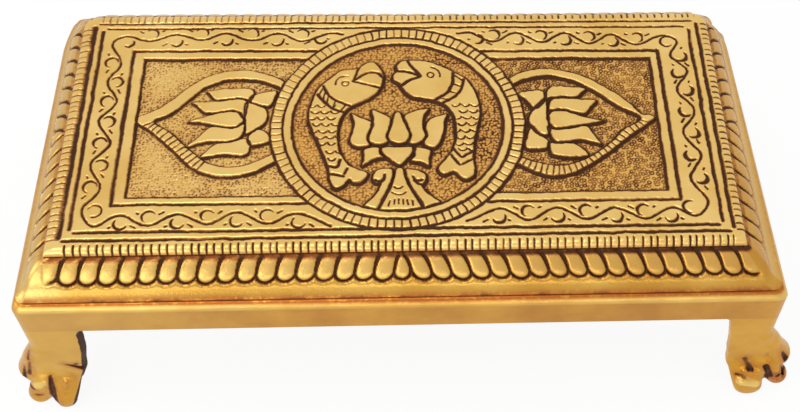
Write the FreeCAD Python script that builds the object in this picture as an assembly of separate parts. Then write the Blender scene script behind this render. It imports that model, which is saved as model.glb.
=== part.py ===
import FreeCAD, Part
import math
import os

# A bajot is a low table of cast brass, made as a chased top plaque on a gadrooned
# moulding, an apron frame and four paw feet. All sizes are in millimetres.
# The origin is on the floor under the middle of the table, +X runs along its length,
# -Y is its front and +Z is up.

Vector = FreeCAD.Vector
UP = Vector(0, 0, 1)

# Overall size, across the apron's widest edge and from the floor to the top
LENGTH = 250.0
DEPTH = 127.0
HEIGHT = 76.0

# Height of each layer, from the top down; the legs take what is left
PLAQUE_THICK = 3.0
MOULDING_HEIGHT = 10.6
APRON_HEIGHT = 14.0

# Working allowances
CLEARANCE = 0.15
OVERRUN = 2.0
CORNER_RADIUS = 3.2

# Top plaque: outline, rim bead and stained seam under it
PLAQUE_INSET = 12.9
PLAQUE_CORNER = 1.8
BEAD_ROUND = 0.7
SEAM_UNDERCUT = 0.6
SEAM_HEIGHT = 0.7

# Top plaque: engraved lines, inward from the plaque's edge
LINE_WIDTH = 1.2
LINE_DEPTH = 0.6
OUTER_LINE = 4.0
INNER_LINE = 7.6
BORDER_LINE = 18.2

# Top plaque: sunk panel and medallion
PANEL_INSET = 21.7
GROUND_DEPTH = 1.1
MEDALLION_RADIUS = 43.3
MEDALLION_SHIFT = -0.9
RING_BAND = 3.9
RING_LINE = 0.8
RING_INNER = 2.8

# Screw bosses under the plaque, seated in the moulding's ledge
BOSS_RADIUS = 4.0
BOSS_HEIGHT = 2.0
BOSS_INSET = 19.0
BOSS_END = 32.0
BOSSES_PER_SIDE = 3
PLAQUE_BITE = 3.0

# Rim moulding, insets measured from the apron's widest edge
LEDGE_SHOW = 0.9
GADROON_FOOT_INSET = 5.4
GADROON_DROP = 6.5
GADROON_BULGE = 0.8
COVE_FOOT_INSET = 1.7
COVE_HOLLOW = 0.35
GROOVE_HEIGHT = 1.0
GROOVE_DEPTH = 0.9
MOULDING_WIDTH = 13.0
LEDGE_REACH = 24.5
LEDGE_THICK = 3.6

# Gadroons: slanted cuts round the moulding
GADROON_PITCH = 6.3
GADROON_CUT = 1.1
GADROON_CUT_DEPTH = 0.8
GADROON_LEAN = 1.9
GADROON_END = 16.0

# Apron frame
APRON_WALL = 4.0
APRON_FLANGE = 3.0
FILLET_RUN = 1.1
FILLET_DROP = 2.0
FRAME_SCREW_INSET = 8.4
FRAME_SCREW_END = 38.0
FRAME_SCREWS_PER_SIDE = 3
FRAME_BITE = 5.0

# Legs: an angle-shaped wall under each corner of the apron
LEG_WALL = 3.4
LEG_WIDTH = 17.4
LEG_WAIST_WIDTH = 12.4
LEG_WAIST_HEIGHT = 20.0
LEG_FOOT_WIDTH = 6.2
LEG_FOOT_BOW = 0.5
LEG_ROOT_RADIUS = 2.2
SHELF_HEIGHT = 6.0
TONGUE_THICK = 3.0
TONGUE_HEIGHT = 9.4
TONGUE_LENGTH = 18.5
LEG_SCREW_ALONG = 13.4
LEG_SCREW_UP = 4.8
LEG_BITE = 2.4

# Paw: three toes round each outer corner and a haunch above them, places as shares of
# the leg's width, inward from the table's end and from its front
TOE_RADIUS = 4.5
TOE_FLAT = 0.8
KNUCKLE_RADIUS = 3.8
KNUCKLE_HEIGHT = 17.0
HAUNCH_RADIUS = 5.6
HAUNCH_HEIGHT = 17.5
NECK_RADIUS = 2.4
NECK_HEIGHT = 35.0
TOE_SHARES = ((0.17, -0.03), (-0.48, 0.05), (-0.42, 0.68))
KNUCKLE_SHARES = ((0.34, 0.20), (-0.10, 0.12), (-0.08, 0.60))
HAUNCH_SHARE = (-0.32, 0.26)
NECK_SHARE = (0.12, 0.16)

# Slotted pan-head screws
SCREW_RADIUS = 1.5
HEAD_RADIUS = 2.8
HEAD_HEIGHT = 1.8
SLOT_WIDTH = 0.7
SLOT_DEPTH = 0.8

# Heights of the joints between the layers
PLAQUE_BASE = HEIGHT - PLAQUE_THICK
MOULDING_BASE = PLAQUE_BASE - MOULDING_HEIGHT
APRON_BASE = MOULDING_BASE - APRON_HEIGHT

# Outlines of the raised ornament, points as shares of the medallion's radius
FISH_SHARES = (
    (-0.32, 0.62), (-0.52, 0.52), (-0.67, 0.30), (-0.73, 0.05), (-0.67, -0.14),
    (-0.59, -0.34), (-0.56, -0.57), (-0.48, -0.61), (-0.40, -0.54), (-0.28, -0.51),
    (-0.33, -0.43), (-0.46, -0.38), (-0.50, -0.20), (-0.50, -0.02), (-0.42, 0.13),
    (-0.27, 0.21), (-0.15, 0.37), (-0.14, 0.50), (-0.21, 0.62),
)
MOUTH_SHARES = ((-0.10, 0.49), (-0.37, 0.46), (-0.10, 0.42))
LOTUS_PETAL_SHARES = (
    ((-0.03, 0.13), (0.03, -0.04), (0.08, -0.15), (-0.02, -0.21), (-0.12, -0.15), (-0.07, -0.02)),
    ((0.20, 0.13), (0.19, -0.02), (0.20, -0.12), (0.13, -0.20), (0.09, -0.10), (0.03, 0.08)),
    ((0.37, 0.08), (0.34, -0.08), (0.27, -0.22), (0.21, -0.18), (0.22, -0.02)),
    ((0.00, -0.23), (0.09, -0.24), (0.08, -0.33), (-0.01, -0.41), (-0.10, -0.33), (-0.11, -0.24)),
    ((0.14, -0.24), (0.21, -0.25), (0.24, -0.39), (0.14, -0.34)),
)
STEM_SHARES = ((-0.05, -0.45), (0.02, -0.45), (0.06, -0.60), (0.15, -0.79), (-0.18, -0.79), (-0.09, -0.60))

# Pointed leaf on each side of the medallion, points as shares of its length from the
# medallion's edge to its tip
LEAF_LENGTH = 46.5
LEAF_BAND = 3.6
LEAF_TIP_UP = 2.2
LEAF_SHARES = (
    (1.00, 0.00), (0.78, 0.17), (0.57, 0.36), (0.36, 0.46), (0.16, 0.48), (-0.06, 0.40), (-0.14, 0.34),
    (-0.14, -0.40), (-0.06, -0.44), (0.16, -0.50), (0.36, -0.48), (0.57, -0.38), (0.78, -0.20),
)
SIDE_PETAL_SHARES = (
    ((0.56, 0.00), (0.34, 0.07), (0.22, 0.05), (0.20, -0.02), (0.26, -0.07), (0.40, -0.05)),
    ((0.57, 0.15), (0.33, 0.18), (0.19, 0.16), (0.20, 0.09), (0.44, 0.08)),
    ((0.59, -0.22), (0.44, -0.07), (0.20, -0.09), (0.22, -0.19), (0.40, -0.18)),
    ((0.49, 0.30), (0.19, 0.31), (0.17, 0.21), (0.40, 0.19)),
    ((0.48, -0.33), (0.18, -0.31), (0.17, -0.22), (0.42, -0.22)),
)


def rounded_outline(inset, radius, z):
    """Rectangle with round corners, inset from the apron's widest edge, at height z."""
    x = LENGTH / 2 - inset
    y = DEPTH / 2 - inset
    edges = []
    for sx, sy, turn in ((1, 1, 0), (-1, 1, 90), (-1, -1, 180), (1, -1, 270)):
        centre = Vector(sx * (x - radius), sy * (y - radius), z)
        points = []
        for angle in (turn, turn + 45, turn + 90):
            a = math.radians(angle)
            points.append(centre + Vector(radius * math.cos(a), radius * math.sin(a), 0))
        edges.append(Part.Arc(*points).toShape())
    wire_edges = []
    for index, edge in enumerate(edges):
        following = edges[(index + 1) % len(edges)]
        wire_edges.append(edge)
        wire_edges.append(Part.LineSegment(edge.Vertexes[-1].Point, following.Vertexes[0].Point).toShape())
    return Part.Wire(wire_edges)


def slab(inset, radius, low, high):
    """Flat block with the table's outline, inset all round."""
    return Part.Face(rounded_outline(inset, radius, low)).extrude(UP * (high - low))


def tapered(inset_low, inset_high, radius, low, high):
    """Block whose inset changes evenly from its lower face to its upper one."""
    return Part.makeLoft([rounded_outline(inset_low, radius, low), rounded_outline(inset_high, radius, high)],
                         True, True)


def drill(radius, start, direction, length):
    return Part.makeCylinder(radius, length, start, direction)


def screw(start, direction, shank):
    """Slotted screw: start is the seat of its head, direction runs along the shank."""
    body = drill(SCREW_RADIUS, start, direction, shank)
    head_start = start - direction * HEAD_HEIGHT
    head = drill(HEAD_RADIUS, head_start, direction, HEAD_HEIGHT)
    slot = Part.makeBox(HEAD_RADIUS * 2 + OVERRUN, SLOT_WIDTH, SLOT_DEPTH + OVERRUN)
    slot.translate(Vector(-HEAD_RADIUS - OVERRUN / 2, -SLOT_WIDTH / 2, -OVERRUN))
    slot.Placement = FreeCAD.Placement(head_start, FreeCAD.Rotation(UP, direction)).multiply(slot.Placement)
    return body.fuse(head).removeSplitter().cut(slot)


def spread(first, last, count):
    """Evenly spaced places from first to last."""
    return [first + (last - first) * index / (count - 1) for index in range(count)]


def plaque_screw_places():
    x_end = LENGTH / 2 - BOSS_END
    y = DEPTH / 2 - BOSS_INSET
    return [(x, side * y) for side in (-1, 1) for x in spread(-x_end, x_end, BOSSES_PER_SIDE)]


def frame_screw_places():
    x_end = LENGTH / 2 - FRAME_SCREW_END
    y = DEPTH / 2 - FRAME_SCREW_INSET
    places = [(x, side * y) for side in (-1, 1) for x in spread(-x_end, x_end, FRAME_SCREWS_PER_SIDE)]
    return places + [(side * (LENGTH / 2 - FRAME_SCREW_INSET), 0) for side in (-1, 1)]


def ornament(points, smooth):
    """Raised flat-topped figure on the plaque: closed outline, stood on the sunk ground."""
    corners = [Vector(x, y, HEIGHT - GROUND_DEPTH) for x, y in points]
    if smooth:
        curve = Part.BSplineCurve()
        curve.interpolate(Points=corners, PeriodicFlag=True)
        wire = Part.Wire([curve.toShape()])
    else:
        wire = Part.makePolygon(corners + [corners[0]])
    return Part.Face(wire).extrude(UP * (GROUND_DEPTH + OVERRUN))


def medallion_point(share, mirror=1):
    x, y = share
    return (MEDALLION_SHIFT + mirror * x * MEDALLION_RADIUS, y * MEDALLION_RADIUS)


def fish(mirror):
    body = ornament([medallion_point(share, mirror) for share in FISH_SHARES], True)
    mouth = ornament([medallion_point(share, mirror) for share in MOUTH_SHARES], False)
    return body.cut(mouth)


def lotus():
    pieces = [ornament([medallion_point(s) for s in STEM_SHARES], False)]
    for index, petal in enumerate(LOTUS_PETAL_SHARES):
        pieces.append(ornament([medallion_point(s) for s in petal], False))
        if index in (1, 2, 4):
            pieces.append(ornament([medallion_point(s, -1) for s in petal], False))
    return pieces


def leaf_point(share, mirror):
    along, across = share
    root = MEDALLION_SHIFT + mirror * MEDALLION_RADIUS
    return (root + mirror * along * LEAF_LENGTH, LEAF_TIP_UP + across * LEAF_LENGTH)


def leaf(mirror):
    """Pointed leaf band and the lotus that lies in it, petals towards the tip."""
    outline = [leaf_point(share, mirror) for share in LEAF_SHARES]
    band = ornament(outline, False)
    inner_scale = 1 - 2 * LEAF_BAND / LEAF_LENGTH
    middle = leaf_point((LEAF_SHARES[4][0], 0), mirror)
    inner = [(middle[0] + (x - middle[0]) * inner_scale, middle[1] + (y - middle[1]) * inner_scale)
             for x, y in outline]
    pieces = [band.cut(ornament(inner, False))]
    for petal in SIDE_PETAL_SHARES:
        pieces.append(ornament([leaf_point(share, mirror) for share in petal], False))
    return pieces


def ring(outer, inner, low, high):
    centre = Vector(MEDALLION_SHIFT, 0, low)
    disc = Part.makeCylinder(outer, high - low, centre)
    return disc.cut(Part.makeCylinder(inner, high - low, centre)) if inner > 0 else disc


def engraved_line(inset):
    """Rectangular groove round the plaque, inset from the plaque's edge."""
    low = HEIGHT - LINE_DEPTH
    high = HEIGHT + OVERRUN
    start = PLAQUE_INSET + inset - LINE_WIDTH / 2
    return slab(start, PLAQUE_CORNER, low, high).cut(slab(start + LINE_WIDTH, PLAQUE_CORNER, low, high))


def top_plaque():
    body = slab(PLAQUE_INSET, PLAQUE_CORNER, PLAQUE_BASE + SEAM_HEIGHT, HEIGHT)
    rim = [edge for edge in body.Edges if min(v.Z for v in edge.Vertexes) > HEIGHT - OVERRUN / 10]
    body = body.makeFillet(BEAD_ROUND, rim)
    body = body.fuse(slab(PLAQUE_INSET + SEAM_UNDERCUT, PLAQUE_CORNER, PLAQUE_BASE, PLAQUE_BASE + SEAM_HEIGHT))
    for x, y in plaque_screw_places():
        foot = Vector(x, y, PLAQUE_BASE - BOSS_HEIGHT)
        body = body.fuse(drill(BOSS_RADIUS, foot, UP, BOSS_HEIGHT))

    low = HEIGHT - GROUND_DEPTH
    high = HEIGHT + OVERRUN
    line_outer = MEDALLION_RADIUS - RING_BAND
    line_inner = line_outer - RING_LINE
    ground_radius = line_inner - RING_INNER
    field = slab(PLAQUE_INSET + PANEL_INSET, PLAQUE_CORNER, low, high)
    field = field.cut(ring(MEDALLION_RADIUS, 0, low, high)).fuse(ring(ground_radius, 0, low, high))
    raised = [fish(1), fish(-1)] + lotus() + leaf(1) + leaf(-1)
    field = field.cut(Part.makeCompound(raised))

    lines = [engraved_line(OUTER_LINE), engraved_line(INNER_LINE), engraved_line(BORDER_LINE)]
    lines = [line.cut(ring(MEDALLION_RADIUS, 0, low, high)) for line in lines]
    lines.append(ring(line_outer, line_inner, HEIGHT - LINE_DEPTH, high))
    body = body.cut([field] + lines)

    for x, y in plaque_screw_places():
        foot = Vector(x, y, PLAQUE_BASE - BOSS_HEIGHT)
        body = body.cut(drill(SCREW_RADIUS + CLEARANCE, foot, UP, PLAQUE_BITE + CLEARANCE))
    return body


def arc_between(start, end, bulge):
    """Arc in the side view from start to end, with its middle lifted outward by bulge."""
    chord = end - start
    outward = Vector(0, -abs(chord.z), abs(chord.y)).normalize()
    return Part.Arc(start, (start + end) / 2 + outward * bulge, end)


def moulding_profile(depth):
    """Section of the front side of the moulding, in the plane through the middle."""
    def at(inset, z):
        return Vector(0, inset - depth / 2, z)

    groove_top = MOULDING_BASE + GROOVE_HEIGHT
    ledge_base = PLAQUE_BASE - LEDGE_THICK
    groove_inset = COVE_FOOT_INSET + GROOVE_DEPTH
    cove_foot = at(COVE_FOOT_INSET, groove_top)
    gadroon_foot = at(GADROON_FOOT_INSET, PLAQUE_BASE - GADROON_DROP)
    gadroon_top = at(PLAQUE_INSET - LEDGE_SHOW, PLAQUE_BASE)
    corners = [
        gadroon_top, at(LEDGE_REACH, PLAQUE_BASE), at(LEDGE_REACH, ledge_base), at(MOULDING_WIDTH, ledge_base),
        at(MOULDING_WIDTH, MOULDING_BASE), at(groove_inset, MOULDING_BASE), at(groove_inset, groove_top), cove_foot,
    ]
    edges = [Part.LineSegment(a, b) for a, b in zip(corners, corners[1:])]
    edges.append(arc_between(cove_foot, gadroon_foot, -COVE_HOLLOW))
    edges.append(arc_between(gadroon_foot, gadroon_top, GADROON_BULGE))
    return Part.Face(Part.Wire([edge.toShape() for edge in edges]))


def gadroon_cuts(length, depth):
    """One slanted cut between each two gadroons, leaning outward to the corners."""
    top = Vector(0, PLAQUE_INSET - LEDGE_SHOW - depth / 2, PLAQUE_BASE)
    foot = Vector(0, GADROON_FOOT_INSET - depth / 2, PLAQUE_BASE - GADROON_DROP)
    outward = Vector(0, foot.z - top.z, top.y - foot.y).normalize()
    count = int((length / 2 - GADROON_END) / GADROON_PITCH)
    cuts = []
    for index in range(-count, count + 1):
        lean = math.copysign(GADROON_LEAN, index) if index else 0
        start = top + Vector(index * GADROON_PITCH, 0, 0)
        along = foot + Vector(index * GADROON_PITCH + lean, 0, 0) - start
        across = Vector(GADROON_CUT, 0, 0)
        corner = start - across / 2 - outward * GADROON_CUT_DEPTH
        floor = Part.makePolygon([corner, corner + across, corner + across + along, corner + along, corner])
        cuts.append(Part.Face(floor).extrude(outward * (GADROON_CUT_DEPTH + OVERRUN)))
    return cuts


def moulding_side(length, depth):
    """Front side of the moulding for a table of this length, cut to a mitre at both ends."""
    bar = moulding_profile(depth).extrude(Vector(length, 0, 0))
    bar.translate(Vector(-length / 2, 0, 0))
    x = length / 2
    y = depth / 2
    plan = [Vector(-x, -y, MOULDING_BASE), Vector(x, -y, MOULDING_BASE),
            Vector(x - LEDGE_REACH, LEDGE_REACH - y, MOULDING_BASE),
            Vector(LEDGE_REACH - x, LEDGE_REACH - y, MOULDING_BASE)]
    mitre = Part.Face(Part.makePolygon(plan + [plan[0]])).extrude(UP * MOULDING_HEIGHT)
    return bar.common(mitre).cut(gadroon_cuts(length, depth))


def rim_moulding():
    front = moulding_side(LENGTH, DEPTH)
    right = moulding_side(DEPTH, LENGTH)
    right.rotate(Vector(0, 0, 0), UP, 90)
    back = front.copy()
    back.rotate(Vector(0, 0, 0), UP, 180)
    left = right.copy()
    left.rotate(Vector(0, 0, 0), UP, 180)
    body = front.fuse([right, back, left])
    body = body.common(slab(COVE_FOOT_INSET, CORNER_RADIUS, MOULDING_BASE, PLAQUE_BASE))
    holes = []
    for x, y in plaque_screw_places():
        seat = Vector(x, y, PLAQUE_BASE - BOSS_HEIGHT - CLEARANCE)
        holes.append(drill(BOSS_RADIUS + CLEARANCE, seat, UP, BOSS_HEIGHT + OVERRUN))
        through = Vector(x, y, PLAQUE_BASE - LEDGE_THICK - OVERRUN)
        holes.append(drill(SCREW_RADIUS + CLEARANCE, through, UP, LEDGE_THICK + OVERRUN))
    for x, y in frame_screw_places():
        foot = Vector(x, y, MOULDING_BASE)
        holes.append(drill(SCREW_RADIUS + CLEARANCE, foot, UP, FRAME_BITE + CLEARANCE))
    return body.cut(holes)


def apron_frame():
    body = slab(0, CORNER_RADIUS, APRON_BASE, MOULDING_BASE - FILLET_DROP)
    body = body.fuse(tapered(0, FILLET_RUN, CORNER_RADIUS, MOULDING_BASE - FILLET_DROP, MOULDING_BASE))
    body = body.cut(slab(APRON_WALL, CORNER_RADIUS, APRON_BASE - OVERRUN, MOULDING_BASE - APRON_FLANGE))
    body = body.cut(slab(MOULDING_WIDTH, CORNER_RADIUS, APRON_BASE, HEIGHT))
    for x, y in frame_screw_places():
        foot = Vector(x, y, MOULDING_BASE - APRON_FLANGE - OVERRUN)
        body = body.cut(drill(SCREW_RADIUS + CLEARANCE, foot, UP, APRON_FLANGE + OVERRUN * 2))
    for start, direction in leg_screw_seats():
        entry = start + direction * (TONGUE_THICK + CLEARANCE)
        body = body.cut(drill(SCREW_RADIUS + CLEARANCE, entry, direction, LEG_BITE + CLEARANCE))
    return body


def leg_screw_seats():
    """Where each leg screw's head sits inside the corner, and which way it points."""
    inner = APRON_WALL + CLEARANCE + TONGUE_THICK
    z = APRON_BASE + LEG_SCREW_UP
    seats = []
    for sx in (-1, 1):
        for sy in (-1, 1):
            along_x = Vector(sx * (LENGTH / 2 - LEG_SCREW_ALONG), sy * (DEPTH / 2 - inner), z)
            along_y = Vector(sx * (LENGTH / 2 - inner), sy * (DEPTH / 2 - LEG_SCREW_ALONG), z)
            seats.append((along_x, Vector(0, sy, 0)))
            seats.append((along_y, Vector(sx, 0, 0)))
    return seats


def leg_wall():
    """Front wall of the front left leg, seen from the front and extruded inward."""
    x0 = -LENGTH / 2
    y0 = -DEPTH / 2
    top = APRON_BASE
    turn = math.radians(45)
    root = LEG_WIDTH + LEG_ROOT_RADIUS
    root_mid_x = x0 + root - LEG_ROOT_RADIUS * math.sin(turn)
    root_mid_z = top - LEG_ROOT_RADIUS + LEG_ROOT_RADIUS * math.cos(turn)
    corner = Vector(x0, y0, 0)
    foot = Vector(x0 + LEG_FOOT_WIDTH, y0, 0)
    waist = Vector(x0 + LEG_WAIST_WIDTH, y0, LEG_WAIST_HEIGHT)
    bow = (foot + waist) / 2 + Vector(LEG_FOOT_BOW, 0, 0)
    shoulder = Vector(x0 + LEG_WIDTH, y0, top - LEG_ROOT_RADIUS)
    root_mid = Vector(root_mid_x, y0, root_mid_z)
    root_end = Vector(x0 + root, y0, top)
    top_corner = Vector(x0, y0, top)
    edges = [
        Part.LineSegment(corner, foot),
        Part.Arc(foot, bow, waist),
        Part.LineSegment(waist, shoulder),
        Part.Arc(shoulder, root_mid, root_end),
        Part.LineSegment(root_end, top_corner),
        Part.LineSegment(top_corner, corner),
    ]
    wire = Part.Wire([edge.toShape() for edge in edges])
    return Part.Face(wire).extrude(Vector(0, LEG_WALL, 0))


def limb(foot_share, foot_radius, foot_height, top_share, top_radius, top_height):
    """A ball at each end of a tapering barrel, places as shares of the leg's width."""
    foot = Vector(-LENGTH / 2 + foot_share[0] * LEG_WIDTH, -DEPTH / 2 + foot_share[1] * LEG_WIDTH, foot_height)
    top = Vector(-LENGTH / 2 + top_share[0] * LEG_WIDTH, -DEPTH / 2 + top_share[1] * LEG_WIDTH, top_height)
    axis = top - foot
    barrel = Part.makeCone(foot_radius, top_radius, axis.Length, foot, axis)
    return barrel.fuse([Part.makeSphere(foot_radius, foot), Part.makeSphere(top_radius, top)])


def paw():
    """The haunch and the three toes of the front left leg."""
    limbs = [limb(HAUNCH_SHARE, HAUNCH_RADIUS, HAUNCH_HEIGHT, NECK_SHARE, NECK_RADIUS, NECK_HEIGHT)]
    for toe_share, knuckle_share in zip(TOE_SHARES, KNUCKLE_SHARES):
        limbs.append(limb(toe_share, TOE_RADIUS, TOE_RADIUS - TOE_FLAT, knuckle_share, KNUCKLE_RADIUS, KNUCKLE_HEIGHT))
    return limbs


def corner_angle(start, end, low, high, length):
    """Angle-shaped block in the front left corner, from inset start to inset end."""
    x0 = -LENGTH / 2
    y0 = -DEPTH / 2
    thick = end - start
    along_x = Part.makeBox(length - start, thick, high - low, Vector(x0 + start, y0 + start, low))
    along_y = Part.makeBox(thick, length - start, high - low, Vector(x0 + start, y0 + start, low))
    return along_x.fuse(along_y)


def front_left_leg():
    x0 = -LENGTH / 2
    y0 = -DEPTH / 2
    front = leg_wall()
    side = front.copy()
    side.translate(Vector(-x0, -y0, 0))
    side = side.mirror(Vector(0, 0, 0), Vector(1, -1, 0))
    side.translate(Vector(x0, y0, 0))
    body = front.fuse(side)
    tongue_start = APRON_WALL + CLEARANCE
    tongue_end = tongue_start + TONGUE_THICK
    body = body.fuse(corner_angle(0, tongue_end, APRON_BASE - SHELF_HEIGHT, APRON_BASE, TONGUE_LENGTH))
    shelf_base = APRON_BASE - SHELF_HEIGHT
    rise = APRON_BASE + TONGUE_HEIGHT
    tongue = corner_angle(tongue_start, tongue_end, shelf_base, rise, TONGUE_LENGTH)
    body = body.fuse(tongue.common(slab(tongue_start, CORNER_RADIUS, shelf_base, rise)))
    body = body.common(slab(0, CORNER_RADIUS, 0, rise))
    inner = Part.makeBox(LENGTH / 2, DEPTH / 2, APRON_BASE, Vector(x0 + LEG_WALL, y0 + LEG_WALL, 0))
    floor = Part.makeBox(LENGTH, DEPTH, TOE_RADIUS * 2, Vector(x0 * 2, y0 * 2, -TOE_RADIUS * 2))
    for part_of_paw in paw():
        body = body.fuse(part_of_paw.cut([inner, floor]))
    for start, direction in leg_screw_seats():
        if start.x < 0 and start.y < 0:
            entry = start - direction * OVERRUN
            body = body.cut(drill(SCREW_RADIUS + CLEARANCE, entry, direction, TONGUE_THICK + OVERRUN * 2))
    return body


def leg(side_x, side_y):
    body = front_left_leg()
    if side_x > 0:
        body = body.mirror(Vector(0, 0, 0), Vector(1, 0, 0))
    if side_y > 0:
        body = body.mirror(Vector(0, 0, 0), Vector(0, 1, 0))
    return body


def plaque_screws():
    seat = PLAQUE_BASE - LEDGE_THICK
    shank = LEDGE_THICK - BOSS_HEIGHT + PLAQUE_BITE
    return Part.makeCompound([screw(Vector(x, y, seat), UP, shank) for x, y in plaque_screw_places()])


def frame_screws():
    seat = MOULDING_BASE - APRON_FLANGE
    shank = APRON_FLANGE + FRAME_BITE
    return Part.makeCompound([screw(Vector(x, y, seat), UP, shank) for x, y in frame_screw_places()])


def leg_screws():
    shank = TONGUE_THICK + CLEARANCE + LEG_BITE
    return Part.makeCompound([screw(start, direction, shank) for start, direction in leg_screw_seats()])


def main():
    os.makedirs("parts", exist_ok=True)
    pieces = {
        "top_plaque": top_plaque(),
        "rim_moulding": rim_moulding(),
        "apron_frame": apron_frame(),
        "leg_front_left": leg(-1, -1),
        "leg_front_right": leg(1, -1),
        "leg_back_left": leg(-1, 1),
        "leg_back_right": leg(1, 1),
        "plaque_screws": plaque_screws(),
        "frame_screws": frame_screws(),
        "leg_screws": leg_screws(),
    }
    for name, shape in pieces.items():
        shape.exportStep("parts/" + name + ".step")
        print(name, len(shape.Solids), "solids", round(shape.Volume), "mm3", shape.isValid())


main()
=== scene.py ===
# %% [markdown]
# # A brass bajot, chased and antiqued
# A bajot is a low ceremonial table, a hand high, that holds a lamp or a figure. This one is cast in yellow
# brass: a chased plaque on a gadrooned moulding, an apron under that, and four paw-footed legs. The frame
# is loaded first, because every piece made here takes its place from the solids that carry the table.

# %% Load the frame
import math

import bpy
import numpy as np
from mathutils import Matrix, Vector


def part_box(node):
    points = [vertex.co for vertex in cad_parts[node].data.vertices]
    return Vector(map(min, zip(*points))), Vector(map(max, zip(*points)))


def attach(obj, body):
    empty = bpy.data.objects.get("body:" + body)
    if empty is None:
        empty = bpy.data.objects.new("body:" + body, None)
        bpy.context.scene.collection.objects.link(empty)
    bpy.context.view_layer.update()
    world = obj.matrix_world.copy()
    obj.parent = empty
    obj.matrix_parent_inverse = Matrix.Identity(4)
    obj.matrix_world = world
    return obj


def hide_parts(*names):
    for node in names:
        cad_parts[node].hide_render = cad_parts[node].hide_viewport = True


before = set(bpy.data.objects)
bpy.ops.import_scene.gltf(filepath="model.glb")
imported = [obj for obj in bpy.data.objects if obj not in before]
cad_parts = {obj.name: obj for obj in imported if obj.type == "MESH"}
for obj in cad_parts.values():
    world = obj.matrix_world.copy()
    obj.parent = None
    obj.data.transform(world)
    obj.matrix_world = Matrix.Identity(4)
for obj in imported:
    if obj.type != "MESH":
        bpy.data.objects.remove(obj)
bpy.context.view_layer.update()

MM = 0.001
print("frame loaded:", sorted(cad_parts))

# %% [markdown]
# ## Sizes that the pieces share
# The maker thinks in millimetres, so the sizes below are millimetres too, and a piece is scaled to metres
# once, when its mesh is made. The corners of each casting are read from the frame.

# %% Read the castings' corners


def corners(node):
    """The lowest and highest corner of a casting, in millimetres."""
    low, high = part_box(node)
    return np.array(low) / MM, np.array(high) / MM


plaque_high = corners("top_plaque")[1]
apron_low, apron_high = corners("apron_frame")

PLAQUE_HALF_X = plaque_high[0]
PLAQUE_HALF_Y = plaque_high[1]
TOP = plaque_high[2]
PLAQUE_THICK = 3.0
PLAQUE_BASE = TOP - PLAQUE_THICK
OUTER_HALF_X = apron_high[0]
OUTER_HALF_Y = apron_high[1]
MOULDING_BASE = apron_high[2]
APRON_BASE = apron_low[2]
print("plaque", PLAQUE_HALF_X, PLAQUE_HALF_Y, TOP, "outer", OUTER_HALF_X, OUTER_HALF_Y)
print("moulding base", MOULDING_BASE, "apron base", APRON_BASE)

# %% [markdown]
# ## Camera
# The picture was taken from in front and above with a short telephoto lens, not quite square to the table.
# A camera needs a place, three turns and a lens: yaw swings it, pitch tips it down, roll tilts the picture.
# The lens is also shifted sideways, as in a picture that was cropped off its middle.

# %% Stand the camera
CAMERA_PLACE = (7.0, -274.2, 422.1)
CAMERA_YAW = math.radians(-3.26)
CAMERA_PITCH = math.radians(55.30)
CAMERA_ROLL = math.radians(1.80)
PICTURE_WIDTH = 800
FOCAL_PIXELS = 1286.5
SENSOR_WIDTH = 36.0
SIDE_SHIFT_PIXELS = 64.0


def stand_camera():
    """The camera at the photograph's viewing angle."""
    data = bpy.data.cameras.new("camera")
    data.sensor_width = SENSOR_WIDTH
    data.lens = FOCAL_PIXELS * SENSOR_WIDTH / PICTURE_WIDTH
    data.shift_x = -SIDE_SHIFT_PIXELS / PICTURE_WIDTH
    data.clip_start = 0.01
    data.clip_end = 20.0
    camera = bpy.data.objects.new("camera", data)
    bpy.context.scene.collection.objects.link(camera)
    turn = (
        Matrix.Rotation(CAMERA_YAW, 4, "Z")
        @ Matrix.Rotation(math.pi / 2 - CAMERA_PITCH, 4, "X")
        @ Matrix.Rotation(CAMERA_ROLL, 4, "Z")
    )
    camera.matrix_world = Matrix.Translation(Vector(CAMERA_PLACE) * MM) @ turn
    bpy.context.scene.camera = camera
    return camera


camera = stand_camera()
print("lens", round(camera.data.lens, 2), "mm")

# %% [markdown]
# ## A mesh from plain arrays
# Every casting here is a closed skin of points and faces. They are worked out with numpy and handed to
# Blender in one go, together with the marks that the finish needs: how deep in a cut a point lies
# ("recess"), how much red-brown stain it holds ("stain"), and how much of the metal's second tone it shows,
# such as on the punched ground ("ground"). On some pieces these marks also carry painted shade and painted
# highlights.

# %% Mesh helper
SHARP_ANGLE = math.radians(50.0)


def piece_from(name, points, faces, marks=None):
    """A new object from points in millimetres, lists of corner numbers, and named marks per point."""
    mesh = bpy.data.meshes.new(name)
    mesh.from_pydata((np.asarray(points) * MM).tolist(), [], faces)
    mesh.update()
    for mark, values in (marks or {}).items():
        layer = mesh.attributes.new(mark, "FLOAT", "POINT")
        layer.data.foreach_set("value", np.asarray(values, np.float32))
    mesh.polygons.foreach_set("use_smooth", np.ones(len(mesh.polygons), bool))
    mesh.set_sharp_from_angle(angle=SHARP_ANGLE)
    made = bpy.data.objects.new(name, mesh)
    bpy.context.scene.collection.objects.link(made)
    print(name, len(mesh.vertices), "points", len(mesh.polygons), "faces")
    return made


def join_shells(shells):
    """Several (points, faces, marks) shells as one, with the corner numbers moved on."""
    points, faces, marks = [], [], {}
    start = 0
    for shell_points, shell_faces, shell_marks in shells:
        points.append(shell_points)
        faces.extend([tuple(corner + start for corner in face) for face in shell_faces])
        for mark, values in shell_marks.items():
            marks.setdefault(mark, []).append(values)
        start += len(shell_points)
    joined = {mark: np.concatenate(values) for mark, values in marks.items()}
    return np.vstack(points), faces, joined


def ease(share):
    """A smooth step from 0 to 1 as the share goes from 0 to 1."""
    share = np.clip(share, 0.0, 1.0)
    return share * share * (3.0 - 2.0 * share)


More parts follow.
